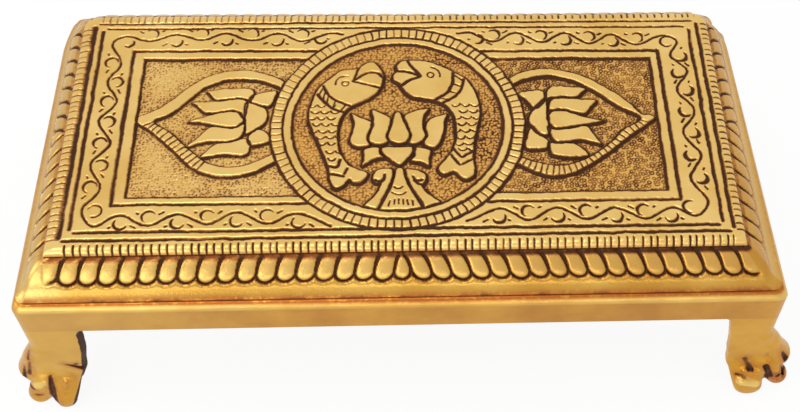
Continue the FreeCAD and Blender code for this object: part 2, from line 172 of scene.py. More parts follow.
# %% [markdown]
# ## Curves cut by hand
# The chaser draws with a few points and lets the wrist round them off. A Catmull-Rom spline does the same:
# it passes through each chosen point and stays smooth between them. Rings and curls are plain arcs.

# %% Curve helpers
SPAN_STEPS = 6
ARC_DEGREES = 18.0


def smooth(points, closed=False):
    """A smooth line through given points."""
    knots = np.array(points, float)
    if closed:
        knots = np.vstack([knots[-1], knots, knots[0], knots[1]])
    else:
        knots = np.vstack([2 * knots[0] - knots[1], knots, 2 * knots[-1] - knots[-2]])
    t = np.linspace(0.0, 1.0, SPAN_STEPS, endpoint=False)[:, None]
    spans = []
    for before, start, end, after in zip(knots[:-3], knots[1:-2], knots[2:-1], knots[3:]):
        spans.append(
            0.5
            * (
                2 * start
                + (end - before) * t
                + (2 * before - 5 * start + 4 * end - after) * t**2
                + (3 * start - before - 3 * end + after) * t**3
            )
        )
    line = np.vstack(spans)
    return line if closed else np.vstack([line, knots[-2]])


def arc(centre, radius, start, end):
    """A round line about a centre from one angle to another, in degrees."""
    steps = max(4, int(abs(end - start) / ARC_DEGREES) + 1)
    angles = np.radians(np.linspace(start, end, steps))
    return np.array(centre) + radius * np.stack([np.cos(angles), np.sin(angles)], 1)


print("one petal edge has", len(smooth([(0, 0), (1, 2), (0, 4)])), "points")

# %% [markdown]
# ## The field that the plaque is drawn on
# Engraving is easiest as a height field: a fine grid over the plaque, where each cell holds how far the
# metal has been pushed down. Distances to the drawn lines are worked out only in a window round each line,
# which keeps thousands of strokes quick. A little low noise bends the grid, so no line is ruler-true.

# %% Lay out the grid
CELL = 0.28
BOTTOM_SKIP = 8
FAR = 8.0
WOBBLE = 0.14
chance = np.random.default_rng(20)


def grid_line(half):
    """Evenly spaced places from edge to edge, a whole number of coarse steps."""
    steps = int(round(2 * half / (CELL * BOTTOM_SKIP))) * BOTTOM_SKIP
    return np.linspace(-half, half, steps + 1)


LINE_X = grid_line(PLAQUE_HALF_X)
LINE_Y = grid_line(PLAQUE_HALF_Y)
PLACE_X, PLACE_Y = np.meshgrid(LINE_X, LINE_Y)


def soft_noise(shape, cell_sizes, weights):
    """Smooth random values about zero on a grid, a blend of coarse ones stretched over it."""
    total = np.zeros(shape)
    for cells, weight in zip(cell_sizes, weights):
        rows, columns = shape[0] // cells + 3, shape[1] // cells + 3
        coarse = chance.standard_normal((rows, columns))
        at_row = np.arange(shape[0]) / cells
        at_column = np.arange(shape[1]) / cells
        row, column = at_row.astype(int), at_column.astype(int)
        part_row = ease(at_row - row)[:, None]
        part_column = ease(at_column - column)[None, :]
        crosswise = coarse[:, column] * (1 - part_column) + coarse[:, column + 1] * part_column
        total += weight * (crosswise[row] * (1 - part_row) + crosswise[row + 1] * part_row)
    return total


BENT_X = PLACE_X + WOBBLE * soft_noise(PLACE_X.shape, (14, 5), (0.8, 0.5))
BENT_Y = PLACE_Y + WOBBLE * soft_noise(PLACE_X.shape, (14, 5), (0.8, 0.5))
print("grid", PLACE_X.shape)


def window(low, high, reach):
    """The part of the grid within reach of a box."""
    column = np.searchsorted(LINE_X, [low[0] - reach, high[0] + reach])
    row = np.searchsorted(LINE_Y, [low[1] - reach, high[1] + reach])
    return slice(row[0], row[1]), slice(column[0], column[1])


def near_segment(x, y, start, end):
    """The distance from each place to a straight piece."""
    run = end - start
    length = max(float(run @ run), 1e-9)
    along = np.clip(((x - start[0]) * run[0] + (y - start[1]) * run[1]) / length, 0.0, 1.0)
    return np.hypot(x - start[0] - along * run[0], y - start[1] - along * run[1])


def near_lines(lines):
    """The distance from each place to the nearest of the lines, up to FAR."""
    field = np.full(PLACE_X.shape, FAR)
    for line in lines:
        for start, end in zip(line[:-1], line[1:]):
            part = window(np.minimum(start, end), np.maximum(start, end), FAR)
            field[part] = np.minimum(field[part], near_segment(BENT_X[part], BENT_Y[part], start, end))
    return field


def inside_shape(outline):
    """Distance to a closed outline, less than zero inside it and capped at FAR outside."""
    field = np.full(PLACE_X.shape, FAR)
    outline = np.asarray(outline, float)
    part = window(outline.min(0), outline.max(0), FAR)
    x, y = BENT_X[part], BENT_Y[part]
    inside = np.zeros(x.shape, bool)
    gap = np.full(x.shape, FAR)
    for start, end in zip(outline, np.roll(outline, -1, 0)):
        crosses = (start[1] > y) != (end[1] > y)
        rise = end[1] - start[1]
        if rise:
            inside ^= crosses & (x < (end[0] - start[0]) * (y - start[1]) / rise + start[0])
        gap = np.minimum(gap, near_segment(x, y, start, end))
    field[part] = np.where(inside, -gap, gap)
    return field


def inside_box(low_x, high_x, low_y, high_y):
    """Distance to a rectangle, less than zero inside it."""
    away_x = np.maximum(low_x - BENT_X, BENT_X - high_x)
    away_y = np.maximum(low_y - BENT_Y, BENT_Y - high_y)
    outside = np.hypot(np.maximum(away_x, 0.0), np.maximum(away_y, 0.0))
    return outside + np.minimum(np.maximum(away_x, away_y), 0.0)


# %% [markdown]
# ## The medallion
# In the middle two fish stand beak to beak over a lotus, an old sign of good luck. Each body is drawn as
# one closed outline, so that the ground round it can be sunk, and the mouth, eye, gill and scales are
# strokes.

# %% Draw the two fish
FISH_LEFT = [
    (-6.6, 15.8), (-5.7, 19.2), (-5.5, 22.0), (-8.1, 26.9), (-10.4, 28.1), (-12.8, 27.4), (-14.9, 25.2),
    (-18.4, 24.9), (-21.5, 23.9), (-25.0, 20.6), (-28.2, 17.1), (-30.4, 12.5), (-31.6, 7.0), (-31.4, 1.4),
    (-29.9, -3.4), (-27.0, -10.9), (-24.7, -17.4), (-23.6, -23.6), (-22.3, -26.7), (-20.2, -27.0),
    (-18.4, -25.7), (-17.1, -23.5), (-15.9, -24.8), (-13.6, -24.9), (-11.5, -23.1), (-10.9, -20.6),
    (-14.2, -18.9), (-17.6, -16.5), (-19.8, -12.6), (-20.9, -8.0), (-21.1, -2.0), (-20.0, 3.0),
    (-17.6, 6.9), (-12.9, 9.9), (-9.4, 12.2),
]
FISH_RIGHT = [
    (0.2, 15.4), (-0.9, 17.5), (-2.8, 19.2), (-2.8, 21.4), (-1.4, 23.6), (-1.6, 26.0), (-0.2, 28.2),
    (2.4, 28.9), (7.0, 28.7), (11.5, 27.5), (16.0, 24.9), (20.5, 21.9), (23.6, 19.4), (25.4, 16.0),
    (27.0, 11.0), (27.7, 6.4), (27.2, 1.0), (26.0, -4.8), (25.1, -9.9), (24.8, -15.0), (25.3, -19.8),
    (24.2, -23.0), (21.6, -24.1), (19.4, -22.5), (17.5, -20.9), (14.6, -22.0), (12.6, -20.6), (12.4, -18.2),
    (14.8, -15.2), (17.0, -11.8), (18.6, -7.2), (18.8, -2.0), (18.2, 2.5), (16.0, 6.9), (12.6, 9.4),
    (8.0, 10.5), (3.6, 11.7),
]
BEAK_STROKES = [
    [(-16.6, 19.6), (-15.4, 23.2), (-13.9, 26.4)],
    [(-16.4, 19.9), (-13.2, 22.1), (-10.3, 23.0), (-7.7, 22.6), (-5.9, 20.8)],
    [(-16.8, 19.4), (-14.3, 18.4), (-10.6, 17.1), (-6.6, 15.9)],
    [(2.4, 28.2), (4.0, 25.4), (6.9, 21.4)],
    [(-1.2, 23.3), (1.4, 23.2), (4.0, 22.5), (7.0, 21.2)],
    [(7.0, 21.0), (3.6, 19.4), (0.2, 16.9)],
]
LEFT_GILL = [
    [(-26.9, 16.9), (-25.6, 14.0), (-22.6, 10.6), (-17.0, 7.6)],
    [(-28.8, 13.4), (-26.6, 10.2), (-23.5, 7.0), (-19.6, 5.2)],
]
RIGHT_GILL = [
    [(18.4, 22.2), (18.2, 17.4), (16.2, 13.4), (12.2, 10.3)],
    [(22.1, 19.1), (21.6, 15.8), (19.6, 12.2), (15.0, 9.2)],
]
TAIL_STROKES = [
    [(-24.0, -17.7), (-21.2, -18.1), (-20.2, -15.2)],
    [(-23.2, -20.9), (-20.8, -21.5), (-18.9, -21.9)],
    [(-18.6, -20.6), (-17.7, -18.6)],
    [(17.8, -11.4), (20.4, -14.4), (22.2, -13.6), (24.3, -12.7)],
    [(16.9, -13.6), (18.6, -16.2), (19.8, -17.8)],
    [(20.6, -17.6), (22.6, -16.5), (24.4, -15.6)],
]
LEFT_EYE = (-19.3, 18.2)
RIGHT_EYE = (10.5, 21.6)
EYE_RADIUS = 1.15
BROW_RADIUS = 3.4
GILL_STEPS = 50
CUP_ANGLES = (200, 340)


def eye_strokes(eye, brow_start, brow_end):
    """A ring for the eye and a thin brow behind it."""
    return [arc(eye, EYE_RADIUS, 0, 360), arc(eye, BROW_RADIUS, brow_start, brow_end)]


def gill_ticks(outer, inner, count):
    """Short cross cuts between the two lines of a gill."""
    places = np.linspace(0.12, 0.9, count)
    first = np.linspace(0, len(outer) - 1, GILL_STEPS).astype(int)
    second = np.linspace(0, len(inner) - 1, GILL_STEPS).astype(int)
    steps = (places * (GILL_STEPS - 1)).astype(int)
    return [np.array([outer[first[step]], inner[second[step]]]) for step in steps]


def scale_rows(middles, pitch, radius, turn):
    """Rows of small cupped cuts down a body; each middle is (x, y, half the number of cups)."""
    cups = []
    for row, (x, y, reach) in enumerate(middles):
        offset = 0.5 * pitch if row % 2 else 0.0
        for step in np.arange(-reach, reach + 0.1, 1.0):
            centre = (x + step * pitch + offset, y)
            cups.append(arc(centre, radius, CUP_ANGLES[0] + turn, CUP_ANGLES[1] + turn))
    return cups


LEFT_SCALES = [(-27.2, 9.0, 1), (-27.6, 6.2, 1), (-27.0, 3.5, 1), (-27.0, 0.8, 1), (-26.4, -2.0, 1),
               (-25.6, -4.8, 1), (-25.0, -7.6, 0.5), (-23.6, -11.0, 0.5), (-23.0, -14.0, 0)]
RIGHT_SCALES = [(22.4, 8.6, 1), (23.2, 5.8, 1), (22.8, 3.0, 1), (22.8, 0.2, 1), (22.4, -2.6, 1),
                (22.2, -5.4, 1), (21.6, -8.2, 0.5), (20.9, -10.6, 0.5)]
SCALE_PITCH = 3.3
SCALE_RADIUS = 1.5

fish_outlines = [smooth(FISH_LEFT, closed=True), smooth(FISH_RIGHT, closed=True)]
left_gill, right_gill = ([smooth(line) for line in gill] for gill in (LEFT_GILL, RIGHT_GILL))
fish_strokes = [smooth(line) for line in BEAK_STROKES + TAIL_STROKES] + left_gill + right_gill
thin_strokes = gill_ticks(*left_gill, 5) + gill_ticks(*right_gill, 4)
thin_strokes += scale_rows(LEFT_SCALES, SCALE_PITCH, SCALE_RADIUS, -8)
thin_strokes += scale_rows(RIGHT_SCALES, SCALE_PITCH, SCALE_RADIUS, 8)
thin_strokes += eye_strokes(LEFT_EYE, 75, 190) + eye_strokes(RIGHT_EYE, -15, 85)
print("fish strokes", len(fish_strokes), "thin strokes", len(thin_strokes))

# %% [markdown]
# ## The lotus between them
# The lotus has a teardrop petal in the middle, two petals each side, a heart and two small petals under
# them, and a stem that parts over two curled straps. Each petal is a closed outline of its own, so its
# neighbours are parted by a cut, as on the casting.

# %% Draw the lotus
LOTUS_SHAPES = [
    [(-2.0, 5.2), (-2.9, 2.2), (-3.6, -1.6), (-4.6, -5.3), (-3.7, -7.7), (-0.8, -9.1), (2.2, -7.9),
     (3.3, -5.5), (2.6, -2.2), (1.0, 2.2), (0.0, 5.2)],
    [(-9.9, 6.4), (-9.7, 2.0), (-10.4, -2.4), (-11.2, -6.0), (-9.4, -8.8), (-6.4, -9.2), (-4.0, -7.9),
     (-4.6, -5.3), (-3.6, -1.6), (-3.0, 2.2), (-6.2, 4.9)],
    [(-17.2, 4.7), (-16.2, 0.6), (-17.0, -4.0), (-17.2, -7.6), (-14.9, -9.9), (-10.4, -9.4), (-11.2, -6.0),
     (-10.4, -2.4), (-9.8, 0.8), (-13.4, 3.1)],
    [(0.9, 3.4), (4.6, 5.6), (9.8, 6.7), (8.4, 2.6), (8.0, -2.0), (8.7, -5.6), (6.9, -8.3), (4.2, -9.1),
     (2.2, -7.9), (3.3, -5.5), (2.6, -2.2)],
    [(9.6, 1.5), (12.4, 3.4), (16.2, 4.2), (15.4, 0.4), (14.9, -4.8), (13.6, -8.7), (11.6, -10.8),
     (8.4, -9.9), (7.6, -7.7), (8.8, -5.6), (8.2, -2.0)],
    [(-6.3, -10.0), (-0.8, -9.6), (4.6, -9.8), (4.6, -12.0), (2.6, -15.0), (-0.2, -17.9), (-3.6, -15.6),
     (-6.2, -12.9)],
    [(-12.4, -10.6), (-7.3, -9.9), (-6.7, -12.9), (-5.0, -14.9), (-8.8, -15.0), (-12.9, -17.7),
     (-12.5, -14.0)],
    [(4.9, -10.0), (10.4, -11.2), (9.8, -14.7), (9.6, -18.4), (6.5, -16.9), (3.2, -16.0), (4.6, -13.6)],
]
STEM = [(-1.8, -19.0), (-2.4, -22.6), (-3.9, -27.2), (-6.6, -33.4), (-6.6, -37.0), (6.8, -37.0),
        (6.8, -33.6), (4.4, -29.2), (2.1, -23.9), (0.9, -19.0)]
STRAP_LEFT = [(-2.4, -19.4), (-5.0, -18.7), (-7.6, -19.1), (-9.3, -20.8), (-9.5, -23.4), (-8.2, -25.0),
              (-6.6, -25.2), (-8.4, -29.2), (-12.6, -34.5), (-8.8, -37.0), (-5.2, -31.0), (-3.0, -24.6)]
STRAP_RIGHT = [(1.2, -19.6), (3.4, -19.3), (6.4, -19.9), (8.4, -21.4), (8.7, -23.6), (7.6, -25.8),
               (7.2, -26.6), (9.4, -29.4), (13.4, -33.6), (9.0, -37.0), (5.2, -31.0), (2.6, -25.0)]
LOTUS_STROKES = [
    arc((-7.2, -22.3), 1.9, -130, 20),
    smooth([(-5.3, -21.4), (-5.5, -23.6), (-7.0, -25.0)]),
    smooth([(4.4, -24.0), (5.8, -25.4), (7.3, -26.0)]),
    arc((6.0, -22.2), 1.9, -60, -170),
]
FRINGE_X = (-3.6, -2.0, -0.6, 0.9, 2.3, 3.8)
thin_strokes += [arc((-0.7, -25.4), 1.9, 215, 325), arc((-0.6, -27.0), 3.0, 215, 325)]
for x in FRINGE_X:
    droop = 0.2 * abs(x)
    thin_strokes.append(np.array([(x, -31.6 - droop), (x * 1.1, -33.4 - droop)]))
lotus_outlines = [smooth(shape, closed=True) for shape in (*LOTUS_SHAPES, STEM, STRAP_LEFT, STRAP_RIGHT)]
print("lotus shapes", len(lotus_outlines))

# %% [markdown]
# ## The leaves at the sides
# A pointed leaf springs from each side of the medallion. Its edge is a raised band, drawn by an outer and
# an inner line, and the band's lower arm is notched across. A half-open lotus lies in each leaf.

# %% Draw the leaves
LEAF_LEFT_OUTER = [
    (-36.0, 16.6), (-42.0, 20.6), (-47.0, 23.0), (-53.0, 24.7), (-60.0, 24.4), (-66.5, 22.8),
    (-72.6, 18.5), (-79.4, 11.7), (-85.3, 6.7), (-90.0, 4.4), (-89.6, 1.6), (-84.0, -2.7), (-76.9, -9.8),
    (-70.3, -17.1), (-63.6, -20.7), (-57.0, -21.6), (-49.0, -20.0), (-42.4, -16.0), (-36.0, -11.4),
]
LEAF_LEFT_INNER = [
    (-36.0, 12.6), (-43.6, 17.2), (-49.0, 19.3), (-55.0, 20.3), (-61.5, 19.6), (-67.8, 17.1),
    (-72.4, 12.0), (-78.6, 5.4), (-83.8, 2.3), (-77.8, -2.5), (-70.3, -10.4), (-64.6, -15.4),
    (-58.0, -17.3), (-51.0, -16.4), (-43.6, -12.2), (-36.0, -7.4),
]
LEAF_RIGHT_OUTER = [
    (32.0, 15.6), (38.6, 20.2), (44.0, 23.1), (50.7, 24.2), (58.2, 23.1), (66.0, 19.6), (74.0, 13.5),
    (80.4, 7.4), (83.6, 3.0), (86.0, 3.0), (87.9, 1.0), (84.8, -1.7), (76.1, -9.0), (67.3, -16.4),
    (59.4, -21.4), (51.0, -23.2), (44.8, -21.4), (39.6, -18.2), (33.0, -13.6),
]
LEAF_RIGHT_INNER = [
    (33.0, 12.0), (40.4, 17.0), (46.0, 19.6), (53.0, 20.3), (60.5, 17.9), (68.2, 12.9), (75.5, 6.2),
    (82.4, 1.2), (76.1, -3.8), (68.9, -11.2), (61.1, -16.5), (53.0, -18.4), (46.0, -17.0), (40.6, -14.6),
    (33.0, -10.0),
]
LOTUS_LEFT = [
    [(-67.0, 15.7), (-61.1, 16.6), (-55.0, 16.9), (-51.2, 15.9), (-50.7, 13.6), (-52.0, 11.2),
     (-56.0, 12.0), (-62.3, 10.9), (-64.2, 11.6), (-66.2, 14.0)],
    [(-72.0, 10.6), (-65.8, 10.9), (-59.8, 11.5), (-56.0, 12.0), (-52.9, 10.6), (-52.9, 6.0), (-53.9, 3.6),
     (-55.6, 5.7), (-58.6, 6.4), (-63.6, 5.6), (-67.2, 5.8), (-70.2, 9.0)],
    [(-72.6, 2.1), (-66.0, 4.7), (-60.6, 6.2), (-56.0, 6.0), (-53.7, 3.6), (-53.9, 0.8), (-57.0, -0.8),
     (-62.0, -0.3), (-68.0, 1.4)],
    [(-64.8, -0.4), (-60.0, -0.7), (-56.0, -0.6), (-53.4, 1.4), (-52.9, -2.4), (-54.8, -5.8), (-59.0, -7.0),
     (-65.4, -6.9), (-72.4, -9.0), (-69.0, -5.0)],
    [(-62.8, -7.6), (-57.0, -6.9), (-54.0, -5.6), (-52.0, -5.6), (-50.6, -8.0), (-51.0, -11.4),
     (-53.4, -12.9), (-59.8, -12.4), (-67.2, -13.6), (-65.0, -10.2)],
    [(-52.9, 9.9), (-46.9, 7.9), (-45.6, 3.2), (-47.2, -0.3), (-52.4, -3.8), (-52.9, 0.8), (-53.3, 4.8)],
    [(-50.7, 13.6), (-43.0, 15.3), (-44.6, 9.0), (-47.4, 8.4), (-51.6, 10.4)],
    [(-48.4, -1.6), (-45.4, -3.1), (-43.6, -6.8), (-50.3, -8.8), (-51.6, -4.6)],
]
LOTUS_RIGHT = [
    [(50.7, 10.4), (50.9, 13.6), (53.0, 16.0), (58.0, 15.8), (64.9, 14.8), (63.2, 12.1), (61.1, 10.3),
     (57.0, 10.6), (53.4, 10.6)],
    [(51.1, 5.4), (51.6, 9.2), (54.4, 10.7), (61.0, 10.0), (68.0, 9.6), (66.2, 6.2), (63.4, 3.0),
     (57.4, 4.8), (53.6, 5.0)],
    [(53.2, -2.9), (50.9, -0.8), (50.8, 3.0), (53.6, 5.1), (58.6, 4.2), (64.4, 1.9), (70.6, 0.2),
     (65.4, -1.2), (58.4, -2.6)],
    [(50.6, -2.0), (50.9, -5.4), (52.8, -9.0), (57.0, -8.8), (61.9, -8.3), (68.4, -10.2), (66.4, -6.0),
     (64.0, -2.0), (58.4, -2.8), (53.2, -3.0)],
    [(50.4, -9.0), (50.4, -12.8), (52.4, -15.0), (59.8, -15.6), (63.8, -14.5), (60.7, -10.2), (57.0, -9.0),
     (53.0, -9.2)],
    [(43.6, 1.6), (47.0, 6.9), (50.6, 9.6), (50.6, 3.0), (50.7, -5.4), (47.4, -5.4), (44.6, -2.0)],
    [(40.8, 13.0), (46.4, 14.3), (50.0, 13.6), (50.4, 10.6), (46.4, 5.8), (43.2, 9.8)],
    [(44.4, -2.0), (42.2, -11.0), (48.9, -11.6), (50.4, -8.0), (47.2, -5.2)],
]
BETWEEN_POINTS = 12
CUT_SHARES = (0.12, 0.9)


def across(outer, inner, start, end, count):
    """Cuts across a band, between matching places on its outer and inner line."""
    cuts = []
    run = np.concatenate([[0.0], np.cumsum(np.hypot(*np.diff(outer, axis=0).T))])
    steps = np.linspace(0, len(inner) - 1, BETWEEN_POINTS * len(inner))
    inner = np.stack([np.interp(steps, np.arange(len(inner)), inner[:, n]) for n in (0, 1)], 1)
    for place in np.linspace(start, end, count):
        out = np.array([np.interp(place * run[-1], run, outer[:, n]) for n in (0, 1)])
        near = inner[np.argmin(np.hypot(*(inner - out).T))]
        cuts.append(np.array([out + (near - out) * share for share in CUT_SHARES]))
    return cuts


leaf_outer = [smooth(LEAF_LEFT_OUTER), smooth(LEAF_RIGHT_OUTER)]
leaf_inner = [smooth(LEAF_LEFT_INNER), smooth(LEAF_RIGHT_INNER)]
thin_strokes += across(leaf_outer[0], leaf_inner[0], 0.52, 0.73, 14)
thin_strokes += across(leaf_outer[1], leaf_inner[1], 0.53, 0.93, 25)
side_outlines = [smooth(shape, closed=True) for shape in LOTUS_LEFT + LOTUS_RIGHT]
print("side lotus shapes", len(side_outlines))

# %% [markdown]
# ## The vine border
# A vine runs in the border from the top of the medallion round each end to its foot. Its turning points
# are listed and a smooth line joins them. A curl lies inside each turn. It is one turn of a round
# gouge, deep on its heavy side and running out to nothing, and small leaf ticks stand beside it.

# %% Draw the vines
VINE_LEFT = [
    (-20.6, 41.2), (-26.0, 41.5), (-35.0, 38.1), (-44.0, 41.9), (-53.0, 38.6), (-62.0, 42.2),
    (-70.8, 39.2), (-80.1, 41.9), (-89.1, 38.9), (-97.6, 41.3), (-102.4, 37.6), (-98.2, 28.4),
    (-102.2, 20.4), (-97.8, 11.2), (-102.8, 2.6), (-97.8, -7.0), (-103.0, -15.6), (-98.8, -25.6),
    (-103.6, -34.0), (-99.0, -40.6), (-91.0, -36.4), (-81.6, -40.6), (-72.4, -36.2), (-62.7, -40.5),
    (-53.2, -35.8), (-43.3, -40.5), (-33.6, -36.6), (-22.6, -41.8),
]
VINE_RIGHT = [
    (20.6, 41.0), (25.6, 41.2), (33.4, 36.9), (41.8, 41.0), (50.8, 36.3), (59.2, 40.6), (67.8, 35.6),
    (76.0, 39.8), (84.6, 34.8), (94.2, 38.9), (99.6, 36.0), (96.6, 29.2), (101.5, 22.0), (96.8, 13.0),
    (101.9, 4.2), (96.6, -5.8), (101.5, -15.2), (96.8, -24.6), (101.2, -34.4), (96.4, -40.2),
    (88.8, -36.4), (79.8, -40.8), (70.0, -36.2), (60.8, -40.6), (51.0, -35.9), (41.6, -40.5),
    (32.4, -36.0), (21.4, -40.8),
]
CURL_RADIUS = 2.2
CURL_DISTANCE = 3.35
CORNER_X = 94.0
CORNER_Y = 33.0
# how far each curl's heavy side is turned from the way that it opens, how wide the gouge is there and how
# far round it runs (0 is half a turn), by end, border and whether the curl lies outside the vine
CURL_HABITS = {
    ("left", "top", True): (-35, 0.85, 0.15), ("left", "top", False): (25, 1.3, 0.05),
    ("right", "top", True): (-55, 1.3, 0.3), ("right", "top", False): (45, 1.35, 0.2),
    ("left", "foot", True): (-40, 1.1, 0.3), ("left", "foot", False): (45, 0.8, 0.35),
    ("right", "foot", True): (30, 1.4, 0.2), ("right", "foot", False): (50, 1.25, 0.3),
    ("left", "end", True): (-40, 1.35, 0.45), ("left", "end", False): (40, 1.4, 0.4),
    ("right", "end", True): (-40, 1.9, 0.2), ("right", "end", False): (40, 1.8, 0.2),
}
# a curl in each corner: its middle and radius, where its heavy side points, its width and how far it runs
CORNER_CURLS = [
    ((-96.8, 38.2), 1.9, -45, 1.6, 0.0),
    ((-99.4, -34.6), 2.4, 20, 0.75, 0.5),
    ((95.9, 36.0), 2.3, 190, 1.0, 0.45),
    ((95.2, -36.4), 2.5, 170, 1.3, 0.35),
]
# the two leaf ticks of a curl: on which side, how far inward it starts, and its run along and inward
TICK_GAP = 1.2
LEAF_TICKS = [(1, 0.9, 1.3, 0.8), (-1, 1.3, 0.6, 0.3)]


def curls(vine, end):
    """A curl inside each turn of a vine, and two leaf ticks beside it."""
    gouges, ticks = [], []
    for before, turn, after in zip(vine[:-2], vine[1:-1], vine[2:]):
        before, turn, after = map(np.array, (before, turn, after))
        if abs(turn[0]) > CORNER_X and abs(turn[1]) > CORNER_Y:
            continue
        inward = (before + after) / 2 - turn
        inward = inward / np.hypot(*inward)
        along = (after - before) / np.hypot(*(after - before))
        border = "end" if abs(turn[0]) > CORNER_X else ("top" if turn[1] > 0 else "foot")
        lean, thick, hook = CURL_HABITS[end, border, float(inward @ turn) > 0]
        centre = turn + inward * CURL_DISTANCE
        heavy = math.degrees(math.atan2(inward[1], inward[0])) + lean
        gouges.append((centre, CURL_RADIUS, heavy, thick, hook))
        for side, start_in, run_along, run_in in LEAF_TICKS:
            start = centre + side * along * (CURL_RADIUS + TICK_GAP) + inward * start_in
            ticks.append(np.array([start, start + side * along * run_along + inward * run_in]))
    return gouges, ticks


vines = [smooth(VINE_LEFT), smooth(VINE_RIGHT)]
left_curls, left_ticks = curls(VINE_LEFT, "left")
right_curls, right_ticks = curls(VINE_RIGHT, "right")
curl_gouges = left_curls + right_curls + CORNER_CURLS
leaf_ticks = left_ticks + right_ticks
print("curls", len(curl_gouges))

# %% [markdown]
# ## The border lines
# Two lines run round the plaque near its rim, and a third frames the sunk panel. They were struck by hand
# along a straightedge: they stop a little short of the corners and aren't quite square with one another.

# %% Draw the border lines
OUTER_FRAME = [(-109.3, 47.2), (107.6, 45.9), (108.2, -46.0), (-109.4, -46.1)]
INNER_FRAME = [(-106.3, 44.9), (104.4, 43.2), (104.9, -43.5), (-106.6, -42.9)]
PANEL_FRAME = [(-94.3, 34.1), (92.1, 31.7), (92.3, -33.4), (-94.5, -32.4)]
SHORT_OF_CORNER = 1.5


def four_lines(frame_corners, short):
    """The four sides of a frame, each stopped short of its corners."""
    lines = []
    for start, end in zip(frame_corners, frame_corners[1:] + frame_corners[:1]):
        start, end = np.array(start), np.array(end)
        along = (end - start) / np.hypot(*(end - start))
        lines.append(np.array([start + along * short, end - along * short]))
    return lines


# widths and weights of the strokes at the back, right, front and left
OUTER_STROKES = [(1.0, 0.9), (1.8, 1.0), (1.5, 1.0), (2.0, 1.0)]
INNER_STROKES = [(1.05, 0.9), (1.6, 1.0), (1.5, 1.0), (1.85, 1.0)]
PANEL_STROKES = [(1.5, 1.0), (1.8, 1.0), (1.35, 0.9), (1.9, 1.0)]
rim_lines = four_lines(OUTER_FRAME, SHORT_OF_CORNER) + four_lines(INNER_FRAME, SHORT_OF_CORNER)
panel_lines = four_lines(PANEL_FRAME, 0.0)
print("border lines", len(rim_lines) + len(panel_lines))

# %% [markdown]
# ## Sinking the ground
# Now the drawing becomes relief. The ground of the panel and of the medallion is sunk, everything drawn as
# a closed outline stays up, and each outline is sharpened with a cut. Where a cut lies, the dark patina of
# an antiqued casting has stayed, and the polishing wheel has taken it off the flats.

# %% Cut the relief
RING_CENTRE = (-0.9, -0.1)
RING_OUTER = 43.4
RING_GROOVE = 39.25
RING_INNER = 36.1
GROUND_LEFT = -90.2
GROUND_RIGHT = 88.8
GROUND_FRONT = -29.6
GROUND_BACK_AT_LEFT = 30.3
GROUND_BACK_AT_RIGHT = 28.4
PAST_THE_BACK = 60.0
WALL_RUN = 0.7
OUTLINE_INSET = 0.35
CUT_SOFTNESS = 0.22
GOUGE_FADE = 0.25
RAGGED = 0.07


def cut(distance, width):
    """How much of a cut is there, from 0 beside it to 1 in its middle."""
    return ease(1.0 - distance / (0.5 * width + CUT_SOFTNESS))


ragged = RAGGED * soft_noise(PLACE_X.shape, (4, 2), (0.7, 0.5))


def struck(lines, width, weight=1.0):
    """The cut along some lines, with the ragged edge of a struck chisel."""
    return weight * cut(np.maximum(near_lines(lines) + ragged, 0.0), width)


def gouged(curls_to_cut):
    """Round gouge cuts that are widest on their heavy side and run out to nothing."""
    field = np.zeros(PLACE_X.shape)
    for centre, radius, heavy, thick, hook in curls_to_cut:
        part = window(centre, centre, radius + 2.0)
        away_x, away_y = BENT_X[part] - centre[0], BENT_Y[part] - centre[1]
        off_line = np.abs(np.hypot(away_x, away_y) - radius) + ragged[part]
        share = hook + (1.0 - hook) * np.cos(np.arctan2(away_y, away_x) - math.radians(heavy))
        shallow = cut(np.maximum(off_line, 0.0), thick * np.maximum(share, 0.0)) * ease(share / GOUGE_FADE)
        field[part] = np.maximum(field[part], shallow)
    return field


ring_x, ring_y = BENT_X - RING_CENTRE[0], BENT_Y - RING_CENTRE[1]
ring_radius = np.hypot(ring_x, ring_y)
ring_turn = np.arctan2(ring_y, ring_x)

fish_field = np.minimum.reduce([inside_shape(outline) for outline in fish_outlines])
lotus_fields = [inside_shape(outline) for outline in lotus_outlines]
side_fields = [inside_shape(outline) for outline in side_outlines]
leaf_fields = [
    np.maximum(inside_shape(outer), -inside_shape(inner))
    for outer, inner in zip(leaf_outer, leaf_inner)
]
inside_medallion = ring_radius - RING_INNER
medal_motifs = np.minimum.reduce([fish_field, *lotus_fields])
side_motifs = np.minimum.reduce([*side_fields, *leaf_fields])
back_rise = GROUND_BACK_AT_RIGHT - GROUND_BACK_AT_LEFT
back_edge = GROUND_BACK_AT_LEFT + (BENT_X - GROUND_LEFT) * back_rise / (GROUND_RIGHT - GROUND_LEFT)
panel = inside_box(GROUND_LEFT, GROUND_RIGHT, GROUND_FRONT, PAST_THE_BACK)
panel = np.maximum(panel, BENT_Y - back_edge)

medal_ground = ease((-inside_medallion) / WALL_RUN) * ease((medal_motifs + OUTLINE_INSET) / WALL_RUN)
side_ground = (
    ease(-panel / WALL_RUN)
    * ease((ring_radius - RING_OUTER) / WALL_RUN)
    * ease((side_motifs + OUTLINE_INSET) / WALL_RUN)
)
ground = np.maximum(medal_ground, side_ground)
print("ground share", round(float(ground.mean()), 3))

# %% [markdown]
# ## Strokes in their order of weight
# Outlines are the heaviest cuts, then the border lines and vines, then the fine ticks. The fade noise makes
# some strokes lighter than others, as the wheel did.

# %% Lay the strokes
RING_NOTCHES = 96
OVERLAP = 0.3
OUTLINE_WIDTH = 1.25
VINE_WIDTH = 1.05
THIN_WIDTH = 0.62
THIN_WEIGHT = 0.72
TICK_WIDTH = 0.75
TICK_WEIGHT = 0.9
NOTCH_WIDTH = 0.6

